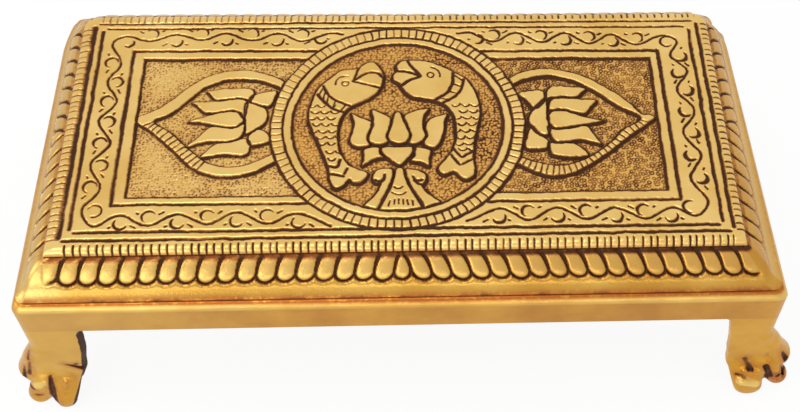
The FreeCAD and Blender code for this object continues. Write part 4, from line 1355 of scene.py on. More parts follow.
def press_gadroons(skin, track):
    """The skin with its tongues, and the marks for its finish."""
    steps = len(band) + len(cove)
    upper = skin[:, :steps]
    along_run = np.gradient(upper, axis=1)
    along_side = np.roll(upper, -1, 0) - np.roll(upper, 1, 0)
    normal = np.cross(along_run, along_side)
    normal /= np.linalg.norm(normal, axis=2, keepdims=True)
    flip = np.sign(normal[:, :, 2:3] + 1e-9)
    normal = normal * flip
    on_long = (track[:, 0] % 2 == 0)[:, None]
    along = np.where(on_long, upper[:, :, 0], upper[:, :, 1])
    long_half = OUTER_HALF_X - np.where(along > 0, TONGUE_END_RIGHT, TONGUE_END_LEFT)
    half = np.where(on_long, long_half, OUTER_HALF_Y - TONGUE_END)
    fields = tongue_fields(along, half, np.broadcast_to(band_run[None, :], along.shape))
    straight = (track[:, 1] == 0)[:, None]
    cut_share, dome, lip_share = (np.where(straight, field, 0.0) for field in fields)
    lip = np.where(on_long, LIP_HIGH["long"], LIP_HIGH["short"])
    move = TONGUE_DOME * (dome - 0.6) * (dome > 0) - TONGUE_DEPTH * cut_share + lip * lip_share
    move = np.where(on_long, move, np.where(dome > 0, 0.5, 0.8) * move)
    move = np.where(dome > 0, np.maximum(move, -TONGUE_DEPTH), move)
    skin = skin.copy()
    skin[:, :steps] = upper + normal * move[:, :, None]
    places, whole = skin.shape[:2]
    recess_mark = np.zeros((places, whole))
    low_end = ease((band_run[None, :] - LOW_PART * band_length) / (0.3 * band_length))
    darkness = np.where(on_long, 1.0, END_SOFTNESS - 0.5 * low_end)
    recess_mark[:, :steps] = np.clip(1.25 * cut_share * darkness, 0, 1)
    recess_mark[:, steps + 2:] = 0.12
    painted_highlight = np.zeros((places, whole))
    # a painted highlight on the tongues' domes, and an even pale tone on the ends
    painted_highlight[:, :steps] = np.where(on_long, 0.7 * dome, 0.45)
    return skin, recess_mark, painted_highlight


skin, moulding_recess, painted_highlight = press_gadroons(skin, track)
print("gadroon cuts", round(float((moulding_recess > 0.5).mean()), 3))

# %% [markdown]
# ## Stain and painted highlights on the moulding
# Two seams hold red-brown stain: one under the plaque's rim, darker to the right, and one in the groove
# over the apron, where it is scratchy and uneven. The domes of the tongues and the left front corner get a
# painted highlight, the ends an even pale tone, and the tongues towards the right less highlight and a thin
# brown veil. The marks are laid row by row of the profile, counted from the seam down.

# %% Mark the moulding
SEAM_STAINS = (0.95, 0.95, 0.7, 0.3)
SEAM_DARKS = (1.0, 0.9, 0.5)
SEAM_DARK_PLACES = (-100.0, -20.0, 60.0)
SEAM_DARK_SHARES = (0.42, 0.55, 0.85)
GROOVE_STAINS = (0.2, 0.45, 0.7, 0.9, 1.0)
GROOVE_DARKS = (0.2, 0.45, 0.7, 0.8)
GROOVE_ROWS = 3
LEDGE_ROWS = 6
LEDGE_STAIN = 0.9

moulding_stain = np.zeros(moulding_recess.shape)
groove_start = len(band) + len(cove)
long_sides = track[:, 0] % 2 == 0
place_x = skin[:, 0, 0]
# a painted highlight on the moulding's front left corner
painted_corner_highlight = ease((-skin[:, :, 0] - 104.0) / 12.0) * ease((-skin[:, :, 1] - 40.0) / 14.0)
painted_highlight[:, :groove_start] = np.maximum(painted_highlight, 0.85 * painted_corner_highlight)[:, :groove_start]
slow_wave = 0.25 * np.sin(place_x * 0.31)
quick_wave = 0.25 * np.sin(place_x * 0.83 + 1.0) * np.cos(place_x * 0.13)
scratchy = 0.5 + slow_wave + quick_wave
to_right = ease((place_x + 40.0) / 130.0) * (track[:, 0] < 2)
# towards the right the tongues get less of the painted highlight and a thin brown veil
painted_highlight[:, :BAND_STEPS] *= (1.0 - 0.5 * to_right)[:, None]
moulding_stain[:, :BAND_STEPS] = (0.16 * to_right)[:, None]

seam_dark = np.interp(place_x, SEAM_DARK_PLACES, SEAM_DARK_SHARES) * np.where(long_sides, 1.0, 0.45)
moulding_stain[:, :len(SEAM_STAINS)] = np.outer(np.where(long_sides, 1.0, 0.35), SEAM_STAINS)
seam_rows = moulding_recess[:, :len(SEAM_DARKS)]
moulding_recess[:, :len(SEAM_DARKS)] = np.maximum(seam_rows, np.outer(seam_dark, SEAM_DARKS))

groove_share = np.where(long_sides, 1.0, 0.3) * np.where(track[:, 1] > 0, 0.35, 1.0)
groove_stain = np.outer(groove_share * (0.65 + 0.35 * scratchy), GROOVE_STAINS)
moulding_stain[:, groove_start - len(GROOVE_STAINS):groove_start] = groove_stain
moulding_stain[:, groove_start:groove_start + GROOVE_ROWS] = groove_share[:, None]
groove_dark = np.outer(groove_share * (0.15 + 0.85 * scratchy), GROOVE_DARKS)
moulding_recess[:, groove_start - 3:groove_start + 1] = groove_dark
moulding_stain[:, -LEDGE_ROWS:] = LEDGE_STAIN
moulding = ring_casting("gadrooned_moulding", skin, moulding_recess, moulding_stain, painted_highlight)

# %% [markdown]
# ## The apron
# The apron is the plain band under the moulding: a rounded fillet on top that catches the light, then an
# upright face. It carries the inner flange that the screws pass through. It is run round in the same way.
# The fillet gets a painted highlight, less of it in the middle of each long side, where stain has crept
# out of the groove, and the upright face is painted lighter towards the left end.

# %% Build the apron
FILLET_RUN = 1.6
FILLET_DROP = 2.5
FILLET_BULGE = 0.2
FILLET_STEPS = 7
FILLET_HIGHLIGHT = (0.3, 0.6, 0.75, 0.8, 0.8, 0.7)
FILLET_STAINS = (1.0, 0.5)
CREPT_STAINS = (0.4, 0.55, 0.2)
FACE_LIGHT_TO_LEFT = 0.28
WAVE_HEIGHT = 0.06
APRON_WALL = 4.0
APRON_FLANGE = 3.0
APRON_FLANGE_REACH = 13.0
APRON_STEP = 1.2
FLANGE_STEP = 2.0
FACE_START = 0.3

fillet_foot = MOULDING_BASE - FILLET_DROP
fillet = bowed((-FILLET_RUN, MOULDING_BASE), (0.0, fillet_foot), FILLET_BULGE, FILLET_STEPS)
face = even_profile([(0.0, fillet_foot - FACE_START), (0.0, APRON_BASE)], APRON_STEP)
inside = even_profile(
    [
        (0.0, APRON_BASE),
        (-APRON_WALL, APRON_BASE),
        (-APRON_WALL, MOULDING_BASE - APRON_FLANGE),
        (-APRON_FLANGE_REACH, MOULDING_BASE - APRON_FLANGE),
        (-APRON_FLANGE_REACH, MOULDING_BASE),
        (-FILLET_RUN, MOULDING_BASE),
    ],
    FLANGE_STEP,
)[1:-1]
apron_profile = with_radius(fillet + face + inside, CORNER_RADIUS, CORNER_RADIUS, 1.0)
apron_skin, apron_track = run_round(apron_profile, OUTER_HALF_X, OUTER_HALF_Y, APRON_STEP)
apron_z = apron_skin[:, :, 2]
uneven = np.sin(apron_skin[:, :, 0] * 0.05 + 1.0) * np.cos(apron_skin[:, :, 1] * 0.07) * WAVE_HEIGHT
apron_z += uneven * (apron_z > APRON_BASE + 1.0) * (apron_z < MOULDING_BASE - 0.1)
apron_stain = np.zeros(apron_skin.shape[:2])
along_apron = apron_skin[:, 0, 0]
on_long_apron = apron_track[:, 0] % 2 == 0
mid_side = ease(1.0 - np.abs(along_apron - 10.0) / 95.0) * on_long_apron
apron_stain[:, 0:2] = FILLET_STAINS * np.where(on_long_apron, 1.0, 0.3)[:, None]
apron_stain[:, 1:4] += np.outer(mid_side, CREPT_STAINS)
# a painted highlight along the fillet, and painted light on the upright face towards the left end
painted_sheen = np.zeros(apron_skin.shape[:2])
painted_sheen[:, 1:FILLET_STEPS] = FILLET_HIGHLIGHT
patchy = 0.82 + 0.1 * np.sin(along_apron * 0.21 + 0.5) + 0.08 * np.sin(along_apron * 0.57)
painted_sheen *= (np.where(on_long_apron, 1.0, 0.6) * patchy * (1.0 - 0.5 * mid_side))[:, None]
painted_sheen[:, FILLET_STEPS:] = FACE_LIGHT_TO_LEFT * ease((-apron_skin[:, FILLET_STEPS:, 0] - 20.0) / 110.0)
apron = ring_casting("plain_apron", apron_skin, np.zeros(apron_stain.shape), apron_stain, painted_sheen)

# %% [markdown]
# ## The paw legs
# A leg is an angle of plate that swells into a paw. Such a soft shape is hard to draw as faces, and easy as
# a distance field: plates, toes and knuckles are distances to simple solids, blended where they meet and
# carved where the toes part. The skin is then drawn through the field's zero with a surface net.

# %% Surface net


def surface_net(field, origin, step):
    """Points and quads of the surface where the field is zero; the field is less than zero inside."""
    inside = field < 0
    corner_offsets = [(i, j, k) for i in (0, 1) for j in (0, 1) for k in (0, 1)]
    shape = tuple(n - 1 for n in field.shape)
    full = np.zeros(shape, int)
    for i, j, k in corner_offsets:
        full += inside[i:i + shape[0], j:j + shape[1], k:k + shape[2]]
    cells = (full > 0) & (full < 8)
    where = np.argwhere(cells)
    number = np.full(shape, -1)
    number[cells] = np.arange(len(where))
    total = np.zeros((len(where), 3))
    count = np.zeros(len(where))
    for first in corner_offsets:
        for axis in range(3):
            if first[axis]:
                continue
            second = tuple(first[n] + (n == axis) for n in range(3))
            a = field[tuple((where + first).T)]
            b = field[tuple((where + second).T)]
            crosses = (a < 0) != (b < 0)
            share = np.where(crosses, a / np.where(crosses, a - b, 1.0), 0.0)
            spot = np.array(first, float)[None, :].repeat(len(where), 0)
            spot[:, axis] += share
            total += np.where(crosses[:, None], spot, 0.0)
            count += crosses
    points = np.array(origin) + (where + total / count[:, None]) * step
    faces = []
    for axis in range(3):
        low = [slice(1, -1)] * 3
        low[axis] = slice(0, -1)
        high = [slice(1, -1)] * 3
        high[axis] = slice(1, None)
        a, b = inside[tuple(low)], inside[tuple(high)]
        for edges, turned in ((a & ~b, False), (~a & b, True)):
            spots = np.argwhere(edges) + [0 if n == axis else 1 for n in range(3)]
            one, two = [n for n in range(3) if n != axis]
            if axis == 1:
                one, two = two, one
            quad = []
            for back_one, back_two in ((0, 0), (1, 0), (1, 1), (0, 1)):
                cell = spots.copy()
                cell[:, one] -= back_one
                cell[:, two] -= back_two
                quad.append(number[tuple(cell.T)])
            quad = np.stack(quad, 1)
            faces.append(quad[:, ::-1] if turned else quad)
    return points, np.vstack(faces)


print("surface net ready")

# %% [markdown]
# ## Shaping one paw
# Places in the leg are given by how far in from the end face (a), how far in from the front face (b) and
# the height above the floor. A capsule with two radii makes a toe; a narrow capsule, taken away, parts two.
# The paws at the two ends were cut by eye and differ: the right ones have broad nails and deep pits.

# %% Measure the legs
LEG_WALL = 3.4
LEG_TOP = APRON_BASE
# height above the floor and width of the front plate there, for the left end (-1) and the right
LEG_WIDTHS = {
    -1: [(0.0, 3.7), (6.0, 6.4), (10.0, 8.4), (15.0, 10.8), (20.0, 12.9), (27.0, 14.5), (33.0, 15.8),
         (40.0, 16.5), (45.0, 16.8), (47.2, 17.4), (48.4, 19.4)],
    1: [(0.0, 6.4), (4.0, 8.4), (10.0, 10.8), (16.0, 11.3), (23.0, 11.9), (33.0, 12.8), (40.0, 13.9),
        (45.0, 14.7), (47.2, 15.6), (48.4, 17.4)],
}
# a capsule is (start, end, radius at the start, radius at the end), each place as (a, b, height)
LOWER_TOE = {
    -1: ((5.6, 0.0, 20.0), (2.1, 0.0, 3.3), 6.7, 3.2),
    1: ((5.5, 0.0, 18.0), (3.5, 0.0, 4.9), 6.3, 5.1),
}
TOE_CURL_TOP = 20.0
TOE_CURL_RUN = 16.0
TOE_CURL_FORWARD = 4.7
DRAFT = {-1: 1.6, 1: 0.25}
print("leg widths", {end: (widths[0][1], widths[-1][1]) for end, widths in LEG_WIDTHS.items()})

# %% Solids that blend


def capsule(point, start, end, start_radius, end_radius):
    """Distance to a thick line whose radius changes along it."""
    run = np.array(end, float) - start
    along = sum((p - s) * r for p, s, r in zip(point, start, run)) / float(run @ run)
    along = np.clip(along, 0.0, 1.0)
    away = np.sqrt(sum((p - s - along * r) ** 2 for p, s, r in zip(point, start, run)))
    return away - (start_radius + (end_radius - start_radius) * along)


def blended(first, second, width):
    """The two solids as one, with a soft fillet of that width where they meet."""
    share = np.clip(0.5 + 0.5 * (second - first) / width, 0.0, 1.0)
    return second + (first - second) * share - width * share * (1.0 - share)


def carved(body, tool, width):
    """The body with the tool taken away, its edges softened."""
    return -blended(-body, tool, width)


print("solids: capsule, blended, carved")

# %% Choose the toes and their cuts
TOES = {
    -1: [
        ((1.6, 3.4, 33.0), (-5.2, 4.6, 16.5), 3.0, 5.5),
        ((-1.4, 1.8, 16.5), (-6.5, 0.6, 4.9), 3.9, 4.1),
        ((-2.4, 10.6, 16.0), (-5.2, 12.2, 5.0), 4.2, 4.3),
    ],
    1: [
        ((1.6, 3.4, 33.0), (-5.8, 4.4, 17.5), 3.0, 5.5),
        ((-1.4, 1.8, 17.0), (-6.6, 0.6, 8.2), 3.9, 4.1),
        ((-2.4, 10.6, 16.0), (-5.2, 12.2, 5.0), 4.2, 4.3),
    ],
}
# small swellings and cuts, different on the two ends: nails and knuckles, then the partings of the toes
SWELLINGS = {
    -1: [
        ((-4.4, -1.6, 13.6), (-1.0, -1.6, 16.4), 1.5, 1.0),
        ((6.0, -0.6, 15.0), (3.0, -3.0, 5.0), 1.4, 1.1),
    ],
    1: [
        ((6.2, -3.2, 9.6), (1.4, -3.0, 7.6), 1.9, 1.7),
        ((5.8, -1.7, 14.6), (0.4, -1.7, 14.2), 0.9, 0.9),
        ((-5.4, -1.9, 15.0), (-2.4, -1.7, 17.6), 1.3, 1.1),
    ],
}
PARTINGS = {
    -1: [
        ((1.4, -1.0, 18.4), (-1.8, -4.8, 1.0), 0.3, 1.7),
        ((-11.4, 3.8, 10.6), (-6.0, -3.2, 11.6), 0.8, 0.35),
        ((-9.6, 9.0, 14.0), (-10.2, 8.6, 0.0), 0.5, 1.2),
        ((14.2, 0.6, 21.8), (8.2, -0.5, 25.8), 1.0, 0.1),
        ((12.4, -0.4, 25.6), (10.6, -0.4, 24.6), 0.4, 0.1),
        ((-1.3, 0.9, 34.0), (-2.7, 0.5, 28.5), 0.5, 0.25),
        ((-2.6, -0.5, 27.3), (-5.4, -1.1, 20.3), 0.45, 0.8),
        ((-6.3, 0.3, 24.0), (-8.3, 0.0, 15.2), 0.45, 0.7),
        ((-6.6, -3.4, 9.0), (-3.0, -3.6, 8.4), 0.45, 0.3),
        ((4.4, -2.0, 16.6), (4.0, -4.1, 11.0), 0.28, 0.12),
        ((6.6, -2.2, 16.4), (5.6, -4.1, 11.6), 0.3, 0.12),
        ((9.0, -1.3, 17.6), (7.4, -3.6, 12.6), 0.3, 0.12),
    ],
    1: [
        ((-2.6, -1.6, 13.0), (-2.5, -4.9, 2.0), 0.5, 1.3),
        ((5.9, -1.2, 20.2), (3.4, -1.7, 14.6), 1.2, 0.9),
        ((-1.8, -1.9, 17.4), (-3.6, -2.7, 11.8), 1.1, 0.9),
        ((8.4, -2.4, 12.4), (1.0, -4.2, 11.6), 0.45, 0.4),
        ((-6.5, 0.0, 25.8), (-9.0, 0.4, 18.4), 0.4, 0.9),
        ((-8.9, -0.4, 13.8), (-7.9, -1.6, 9.0), 0.8, 0.7),
        ((-11.4, 3.8, 10.6), (-6.0, -3.2, 11.6), 0.8, 0.3),
        ((-9.6, 9.0, 14.0), (-10.2, 8.6, 0.0), 0.5, 1.2),
    ],
}
# the hollow beside the right paw's big toe, where tarnish has gathered
TARNISHED = ((-5.0, -1.6, 13.0), (-8.0, -1.0, 6.5), 1.6, 2.2)
print("cuts", {end: len(cuts) for end, cuts in PARTINGS.items()})

# %% [markdown]
# ## The whole leg as one field
# The front plate follows the widths above and curls forward into the lower toe. The end plate meets it
# round the corner, the other toes are blended on, and the small cuts come last. A distance less than zero
# is metal.

# %% Carve the legs
LEG_STEP = 0.45
LEG_REACH = 16.0
LEG_SPAN = 22.0
PLATE_SLOPE = 0.92
PLATE_START = 16.0
LOWER_TOE_BLEND = 1.2
TOE_BLEND = 1.1
PAW_BLEND = 2.4
PAW_CLEAR = 0.6
SWELLING_BLEND = 0.7
PARTING_BLEND = 0.45
FRONT_REACH = 5.0
END_REACH = 12.9


def toe_curl(z):
    """How far the front plate has curled forward at a height."""
    return TOE_CURL_FORWARD * ease((TOE_CURL_TOP - z) / TOE_CURL_RUN)


def leg_field(a, b, z, end):
    """Distance field of one leg, for the left end (-1) or the right (1)."""
    width = np.interp(z, *zip(*LEG_WIDTHS[end]))
    point = (a, b, z)
    flat = (a, np.zeros(a.shape), z)
    curl = toe_curl(z)
    into_plate = np.clip((b + 0.98 * curl) / LEG_WALL, 0.0, 1.2)
    draft = DRAFT[end] * (0.55 + 0.45 * ease((z - 14.0) / 8.0)) * into_plate
    outline = np.maximum.reduce([-a, (a - width - draft) * PLATE_SLOPE, PLATE_START - z])
    outline = blended(outline, capsule(flat, *LOWER_TOE[end]) - draft, LOWER_TOE_BLEND)
    thick = np.abs(b - 0.5 * LEG_WALL + 0.82 * curl) - 0.5 * LEG_WALL - 0.16 * curl
    front_plate = -blended(-outline, -thick, 0.6 + 2.2 * ease((22.0 - z) / 10.0))
    end_plate = np.maximum.reduce([-a, a - LEG_WALL, -b, (b - width) * PLATE_SLOPE])
    corner_a, corner_b = np.minimum(a - CORNER_RADIUS, 0.0), np.minimum(b - CORNER_RADIUS, 0.0)
    round_corner = CORNER_RADIUS - np.hypot(corner_a, corner_b)
    upper = np.maximum(np.minimum(front_plate, end_plate), -round_corner - 6.0 * ease((30.0 - z) / 8.0))
    first_toe, *other_toes = [capsule(point, *toe) for toe in TOES[end]]
    paw = first_toe
    for toe in other_toes:
        paw = blended(paw, toe, TOE_BLEND)
    paw = np.maximum(paw, np.minimum(a - LEG_WALL - PAW_CLEAR, b - LEG_WALL - PAW_CLEAR))
    paw = np.maximum(paw, a - LEG_WALL)
    leg = blended(upper, paw, PAW_BLEND)
    for swelling in SWELLINGS[end]:
        leg = blended(leg, capsule(point, *swelling), SWELLING_BLEND)
    for parting in PARTINGS[end]:
        leg = carved(leg, capsule(point, *parting), PARTING_BLEND)
    return np.maximum.reduce([leg, z - LEG_TOP, -z, -b - FRONT_REACH, -a - END_REACH])


def carve_leg(end):
    """One leg's skin in its own (a, b, z) places, with the marks for its finish."""
    reach = np.arange(-LEG_REACH, LEG_SPAN, LEG_STEP)
    heights = np.arange(-2 * LEG_STEP, LEG_TOP + 3 * LEG_STEP, LEG_STEP)
    a, b, z = np.meshgrid(reach, reach, heights, indexing="ij")
    points, faces = surface_net(leg_field(a, b, z, end), (reach[0], reach[0], heights[0]), LEG_STEP)
    points[:, 2] = np.clip(points[:, 2], 0.0, LEG_TOP)
    rim = points[:, 2] > LEG_TOP - 0.3
    points[rim, 2] = LEG_TOP
    for inward, along in ((0, 1), (1, 0)):
        on_face = np.abs(points[:, inward]) < 0.3
        points[rim & on_face & (points[:, along] > CORNER_RADIUS), inward] = 0.0
    near = np.min([capsule(points.T, *parting) for parting in PARTINGS[end]], axis=0)
    cuts = ease(1.0 - near / 0.7)
    beside = ease(1.0 - near / 3.2)
    tarnish = ease(1.0 - capsule(points.T, *TARNISHED) / 2.0) * (end > 0)
    # a painted highlight on the first swelling: the knuckle on the left paw, the nail on the right
    nail_highlight = ease(1.0 - capsule(points.T, *SWELLINGS[end][0]) / 0.5)
    # the inner edge of the front plate, where the left legs get a painted shade
    width = np.interp(points[:, 2], *zip(*LEG_WIDTHS[end]))
    inner = ease((points[:, 0] - width + 0.5) / 0.6) * ease((48.0 - points[:, 2]) / 3.0)
    inner = inner * (points[:, 1] > 0.15 - 0.9 * toe_curl(points[:, 2]))
    return points, faces, {"cuts": cuts, "beside": beside, "inner": inner, "nail_highlight": nail_highlight, "tarnish": tarnish}


carved_legs = {end: carve_leg(end) for end in (-1, 1)}
print("leg points", [len(points) for points, _, _ in carved_legs.values()])

# %% [markdown]
# ## Four legs from two
# Each end's leg is mirrored from the front to the back. The partings are dark and brown stain spreads
# beside them. The left legs get a painted shade, dark and brown, along the inner edge of the front plate,
# and their faces grow paler towards the top; the nails and knuckles get a painted highlight. A tongue on
# each leg goes up inside the apron, where the screws hold it.

# %% Stand the four legs
LEGS = {
    "leg_front_left": (-1, -1),
    "leg_front_right": (1, -1),
    "leg_back_left": (-1, 1),
    "leg_back_right": (1, 1),
}
LEAN = 2.2
LEAN_TOP = 26.0
INNER_PAINTED_SHADE = {-1: 0.85, 1: 0.0}
INNER_PAINTED_BROWN = {-1: 0.8, 1: 0.0}
FACE_PALING = {-1: 0.3, 1: 0.0}
TONGUE_GAP = 0.15
TONGUE_SUNK = 1.0
TONGUE_THICK = 3.0
TONGUE_HEIGHT = 9.4
TONGUE_LENGTH = 18.5


def block(low, high):
    """A plain closed block between two corners."""
    (x0, y0, z0), (x1, y1, z1) = np.minimum(low, high), np.maximum(low, high)
    points = np.array([(x, y, z) for z in (z0, z1) for y in (y0, y1) for x in (x0, x1)])
    faces = [(0, 2, 3, 1), (4, 5, 7, 6), (0, 1, 5, 4), (2, 6, 7, 3), (0, 4, 6, 2), (1, 3, 7, 5)]
    return points, faces


def stand_leg(name, side_x, side_y):
    """One leg at its corner, with the tongue that goes up inside the apron."""
    leg_points, leg_faces, leg_marks = carved_legs[side_x]
    lean = LEAN * np.maximum(1.0 - leg_points[:, 2] / LEAN_TOP, 0.0) * (-side_y)
    x = side_x * (OUTER_HALF_X - leg_points[:, 0]) + lean
    y = side_y * (OUTER_HALF_Y - leg_points[:, 1])
    points = settled(np.column_stack([x, y, leg_points[:, 2]]))
    faces = leg_faces[:, ::-1] if side_x * side_y > 0 else leg_faces
    # the left legs' inner edge is painted dark and brown as shade
    recess_mark = 0.8 * leg_marks["cuts"] + INNER_PAINTED_SHADE[side_x] * leg_marks["inner"]
    stain_mark = 0.5 * leg_marks["beside"] + INNER_PAINTED_BROWN[side_x] * leg_marks["inner"]
    stain_mark = np.clip(stain_mark + 0.7 * leg_marks["tarnish"], 0.0, 1.0)
    # the left legs' faces grow paler towards the top
    face_paling = FACE_PALING[side_x] * ease((points[:, 2] - 4.0) / 20.0)
    pale_and_highlight_mark = np.maximum(leg_marks["nail_highlight"], face_paling)
    marks = {"recess": recess_mark, "stain": stain_mark, "ground": pale_and_highlight_mark}
    shells = [(points, faces.tolist(), marks)]
    start = APRON_WALL + TONGUE_GAP
    low = (start, start, LEG_TOP - TONGUE_SUNK)
    thin = start + TONGUE_THICK
    for far_a, far_b in ((TONGUE_LENGTH, thin), (thin, TONGUE_LENGTH)):
        high = (far_a, far_b, LEG_TOP + TONGUE_HEIGHT)
        ends = [(side_x * (OUTER_HALF_X - a), side_y * (OUTER_HALF_Y - b), z) for a, b, z in (low, high)]
        block_points, block_faces = block(*ends)
        block_points = settled(block_points)
        plain = {mark: np.zeros(len(block_points)) for mark in ("recess", "stain", "ground")}
        shells.append((block_points, block_faces, plain))
    return piece_from("paw_" + name, *join_shells(shells))


legs = {name: stand_leg(name, *sides) for name, sides in LEGS.items()}

# %% [markdown]
# ## Antiqued brass
# The metal is one thing, polished brass with a dark patina left in its cuts, seen on castings of slightly
# different colour; the apron's darker, more orange tone also paints in the shade on its upright face. The
# marks on the points say where the patina ("recess") and the red-brown stain ("stain") lie, and noise in
# real size breaks them up; on the left legs both also carry a painted shade along the inner edge, and the
# patina mark a painted shadow on the lower side of the plaque's outlines. A third mark ("ground") mixes in
# a
# second tone: the duller ground of the plaque, painted highlights on the moulding's tongues and front left
# corner, on the apron's fillet and on the legs' nails and knuckles, painted light on the apron's face
# towards its left end, and the left legs' faces, paler towards the top. Polished parts are smooth and
# metallic, and the patina is dull.

# %% Helpers for a finish


def linear(red, green, blue):
    """A colour given in the 0 to 255 values of a picture, as linear light."""
    return tuple((v / 255 / 12.92) if v / 255 <= 0.04045 else ((v / 255 + 0.055) / 1.055) ** 2.4
                 for v in (red, green, blue))


def add(tree, kind, **settings):
    """A new node with its settings."""
    node = tree.nodes.new(kind)
    for key, value in settings.items():
        setattr(node, key, value)
    return node


def mixed(tree, share, first, second):
    """Two colours mixed by a share; each is a colour or a socket."""
    node = add(tree, "ShaderNodeMix", data_type="RGBA")
    tree.links.new(share, node.inputs["Factor"])
    for name, value in (("A", first), ("B", second)):
        socket = [s for s in node.inputs if s.name == name and s.type == "RGBA"][0]
        if isinstance(value, tuple):
            socket.default_value = (*value, 1.0)
        else:
            tree.links.new(value, socket)
    return [s for s in node.outputs if s.type == "RGBA"][0]


def sums(tree, operation, first, second, clamp=False):
    """Arithmetic on two values, each a number or a socket."""
    node = add(tree, "ShaderNodeMath", operation=operation, use_clamp=clamp)
    for slot, value in enumerate((first, second)):
        if isinstance(value, (int, float)):
            node.inputs[slot].default_value = value
        else:
            tree.links.new(value, node.inputs[slot])
    return node.outputs[0]


def noise(tree, place, size_mm, detail=3.0, stretch=None):
    """Noise whose features are about size_mm across."""
    node = add(tree, "ShaderNodeTexNoise")
    node.inputs["Scale"].default_value = 1000.0 / size_mm
    node.inputs["Detail"].default_value = detail
    node.inputs["Roughness"].default_value = 0.6
    if stretch:
        mapping = add(tree, "ShaderNodeMapping")
        mapping.inputs["Scale"].default_value = stretch
        tree.links.new(place, mapping.inputs["Vector"])
        place = mapping.outputs["Vector"]
    tree.links.new(place, node.inputs["Vector"])
    return node.outputs["Fac"]


def span(tree, value, low, high):
    """A value's range from low to high stretched to 0 to 1."""
    node = add(tree, "ShaderNodeMapRange", clamp=True)
    tree.links.new(value, node.inputs["Value"])
    node.inputs["From Min"].default_value = low
    node.inputs["From Max"].default_value = high
    return node.outputs["Result"]


print("finish helpers ready")

# %% Mix the brass
PATINA = (0.055, 0.019, 0.005)
STAIN = (0.40, 0.105, 0.02)
HALO = (0.36, 0.125, 0.03)
CLOUD_SIZE = 22.0
FINE_SIZE = 1.6
GRAIN_SIZE = 0.9
BRUSH_SIZE = 1.2
BRUSHED_ALONG_X = (0.05, 1.0, 1.0)
BUMP_STRENGTH = 0.22
BUMP_DISTANCE = 0.0004


def antiqued_brass(name, bright, deep, second_tone, roughness, brushed):
    """Polished brass with patina in its cuts."""
    material = bpy.data.materials.new(name)
    material.use_nodes = True
    tree = material.node_tree
    shader = tree.nodes["Principled BSDF"]
    place = add(tree, "ShaderNodeTexCoord").outputs["Object"]
    marks = {}
    for mark in ("recess", "stain", "ground"):
        marks[mark] = add(tree, "ShaderNodeAttribute", attribute_name=mark).outputs["Fac"]
    cloud = span(tree, noise(tree, place, CLOUD_SIZE), 0.35, 0.68)
    fine = noise(tree, place, FINE_SIZE, detail=4.0)
    colour = mixed(tree, cloud, bright, deep)
    # the second tone is the plaque's duller ground, and on the moulding, apron and legs mostly a painted
    # highlight
    colour = mixed(tree, sums(tree, "MULTIPLY", marks["ground"], 0.8, clamp=True), colour, second_tone)
    # the stain mark also holds the left legs' brown painted shade
    stain_share = sums(tree, "MULTIPLY", marks["stain"], span(tree, fine, 0.25, 0.5), clamp=True)
    colour = mixed(tree, stain_share, colour, STAIN)
    speckle = sums(tree, "MULTIPLY", sums(tree, "SUBTRACT", fine, 0.5), 0.5)
    # patina in the cuts, and painted shade on the outlines' lower sides and the left legs' inner edges
    patina_and_shade = sums(tree, "ADD", marks["recess"], speckle)
    colour = mixed(tree, sums(tree, "MULTIPLY", span(tree, patina_and_shade, 0.06, 0.4), 0.75), colour, HALO)
    patina_and_shade = span(tree, patina_and_shade, 0.3, 0.8)
    colour = mixed(tree, patina_and_shade, colour, PATINA)
    tree.links.new(colour, shader.inputs["Base Color"])
    metal = sums(tree, "SUBTRACT", 1.0, sums(tree, "MULTIPLY", patina_and_shade, 0.7))
    metal = sums(tree, "SUBTRACT", metal, sums(tree, "MULTIPLY", stain_share, 0.35), clamp=True)
    tree.links.new(metal, shader.inputs["Metallic"])
    wear = sums(tree, "ADD", sums(tree, "MULTIPLY", fine, 0.22), roughness - 0.11)
    rough = sums(tree, "ADD", wear, sums(tree, "MULTIPLY", patina_and_shade, 0.25), clamp=True)
    tree.links.new(rough, shader.inputs["Roughness"])
    shader.inputs["Specular IOR Level"].default_value = 0.15
    if brushed:
        grain = noise(tree, place, BRUSH_SIZE, detail=4.0, stretch=brushed)
    else:
        grain = noise(tree, place, GRAIN_SIZE, detail=5.0)
    bump = add(tree, "ShaderNodeBump")
    bump.inputs["Strength"].default_value = BUMP_STRENGTH
    bump.inputs["Distance"].default_value = BUMP_DISTANCE
    tree.links.new(grain, bump.inputs["Height"])
    tree.links.new(bump.outputs["Normal"], shader.inputs["Normal"])
    return material


# each casting's bright, deep and second tone, its roughness and how its grain is drawn out
TONES = {
    "plaque_brass": ((233, 197, 122), (219, 178, 98), (218, 166, 84), 0.3, None),
    "moulding_brass": ((206, 161, 76), (190, 140, 58), (220, 186, 112), 0.3, None),
    # the apron's tones are darker and more orange, partly a painted shade for its upright face
    "apron_brass": ((208, 152, 60), (186, 127, 45), (230, 200, 122), 0.34, BRUSHED_ALONG_X),
    "leg_brass": ((216, 164, 62), (198, 141, 47), (238, 204, 116), 0.34, None),
    "screw_brass": ((206, 170, 96), (180, 140, 70), (170, 130, 70), 0.36, None),
}
metals = {
    name: antiqued_brass(name, linear(*bright), linear(*deep), linear(*second), roughness, brushed)
    for name, (bright, deep, second, roughness, brushed) in TONES.items()
}
print("finishes", list(metals))

# %% [markdown]
# ## Every piece to its place in the frame
# A piece rides on the table's one body, takes the record's slot, and stands for the solid that it dresses.
# The screws are right as they are, so they only get their metal.

# %% Dress the frame


def dress(piece, node, slot):
    """A piece in place of a solid, in its metal."""
    piece.data.materials.append(metals[slot])
    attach(piece, "root")
    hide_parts(node)


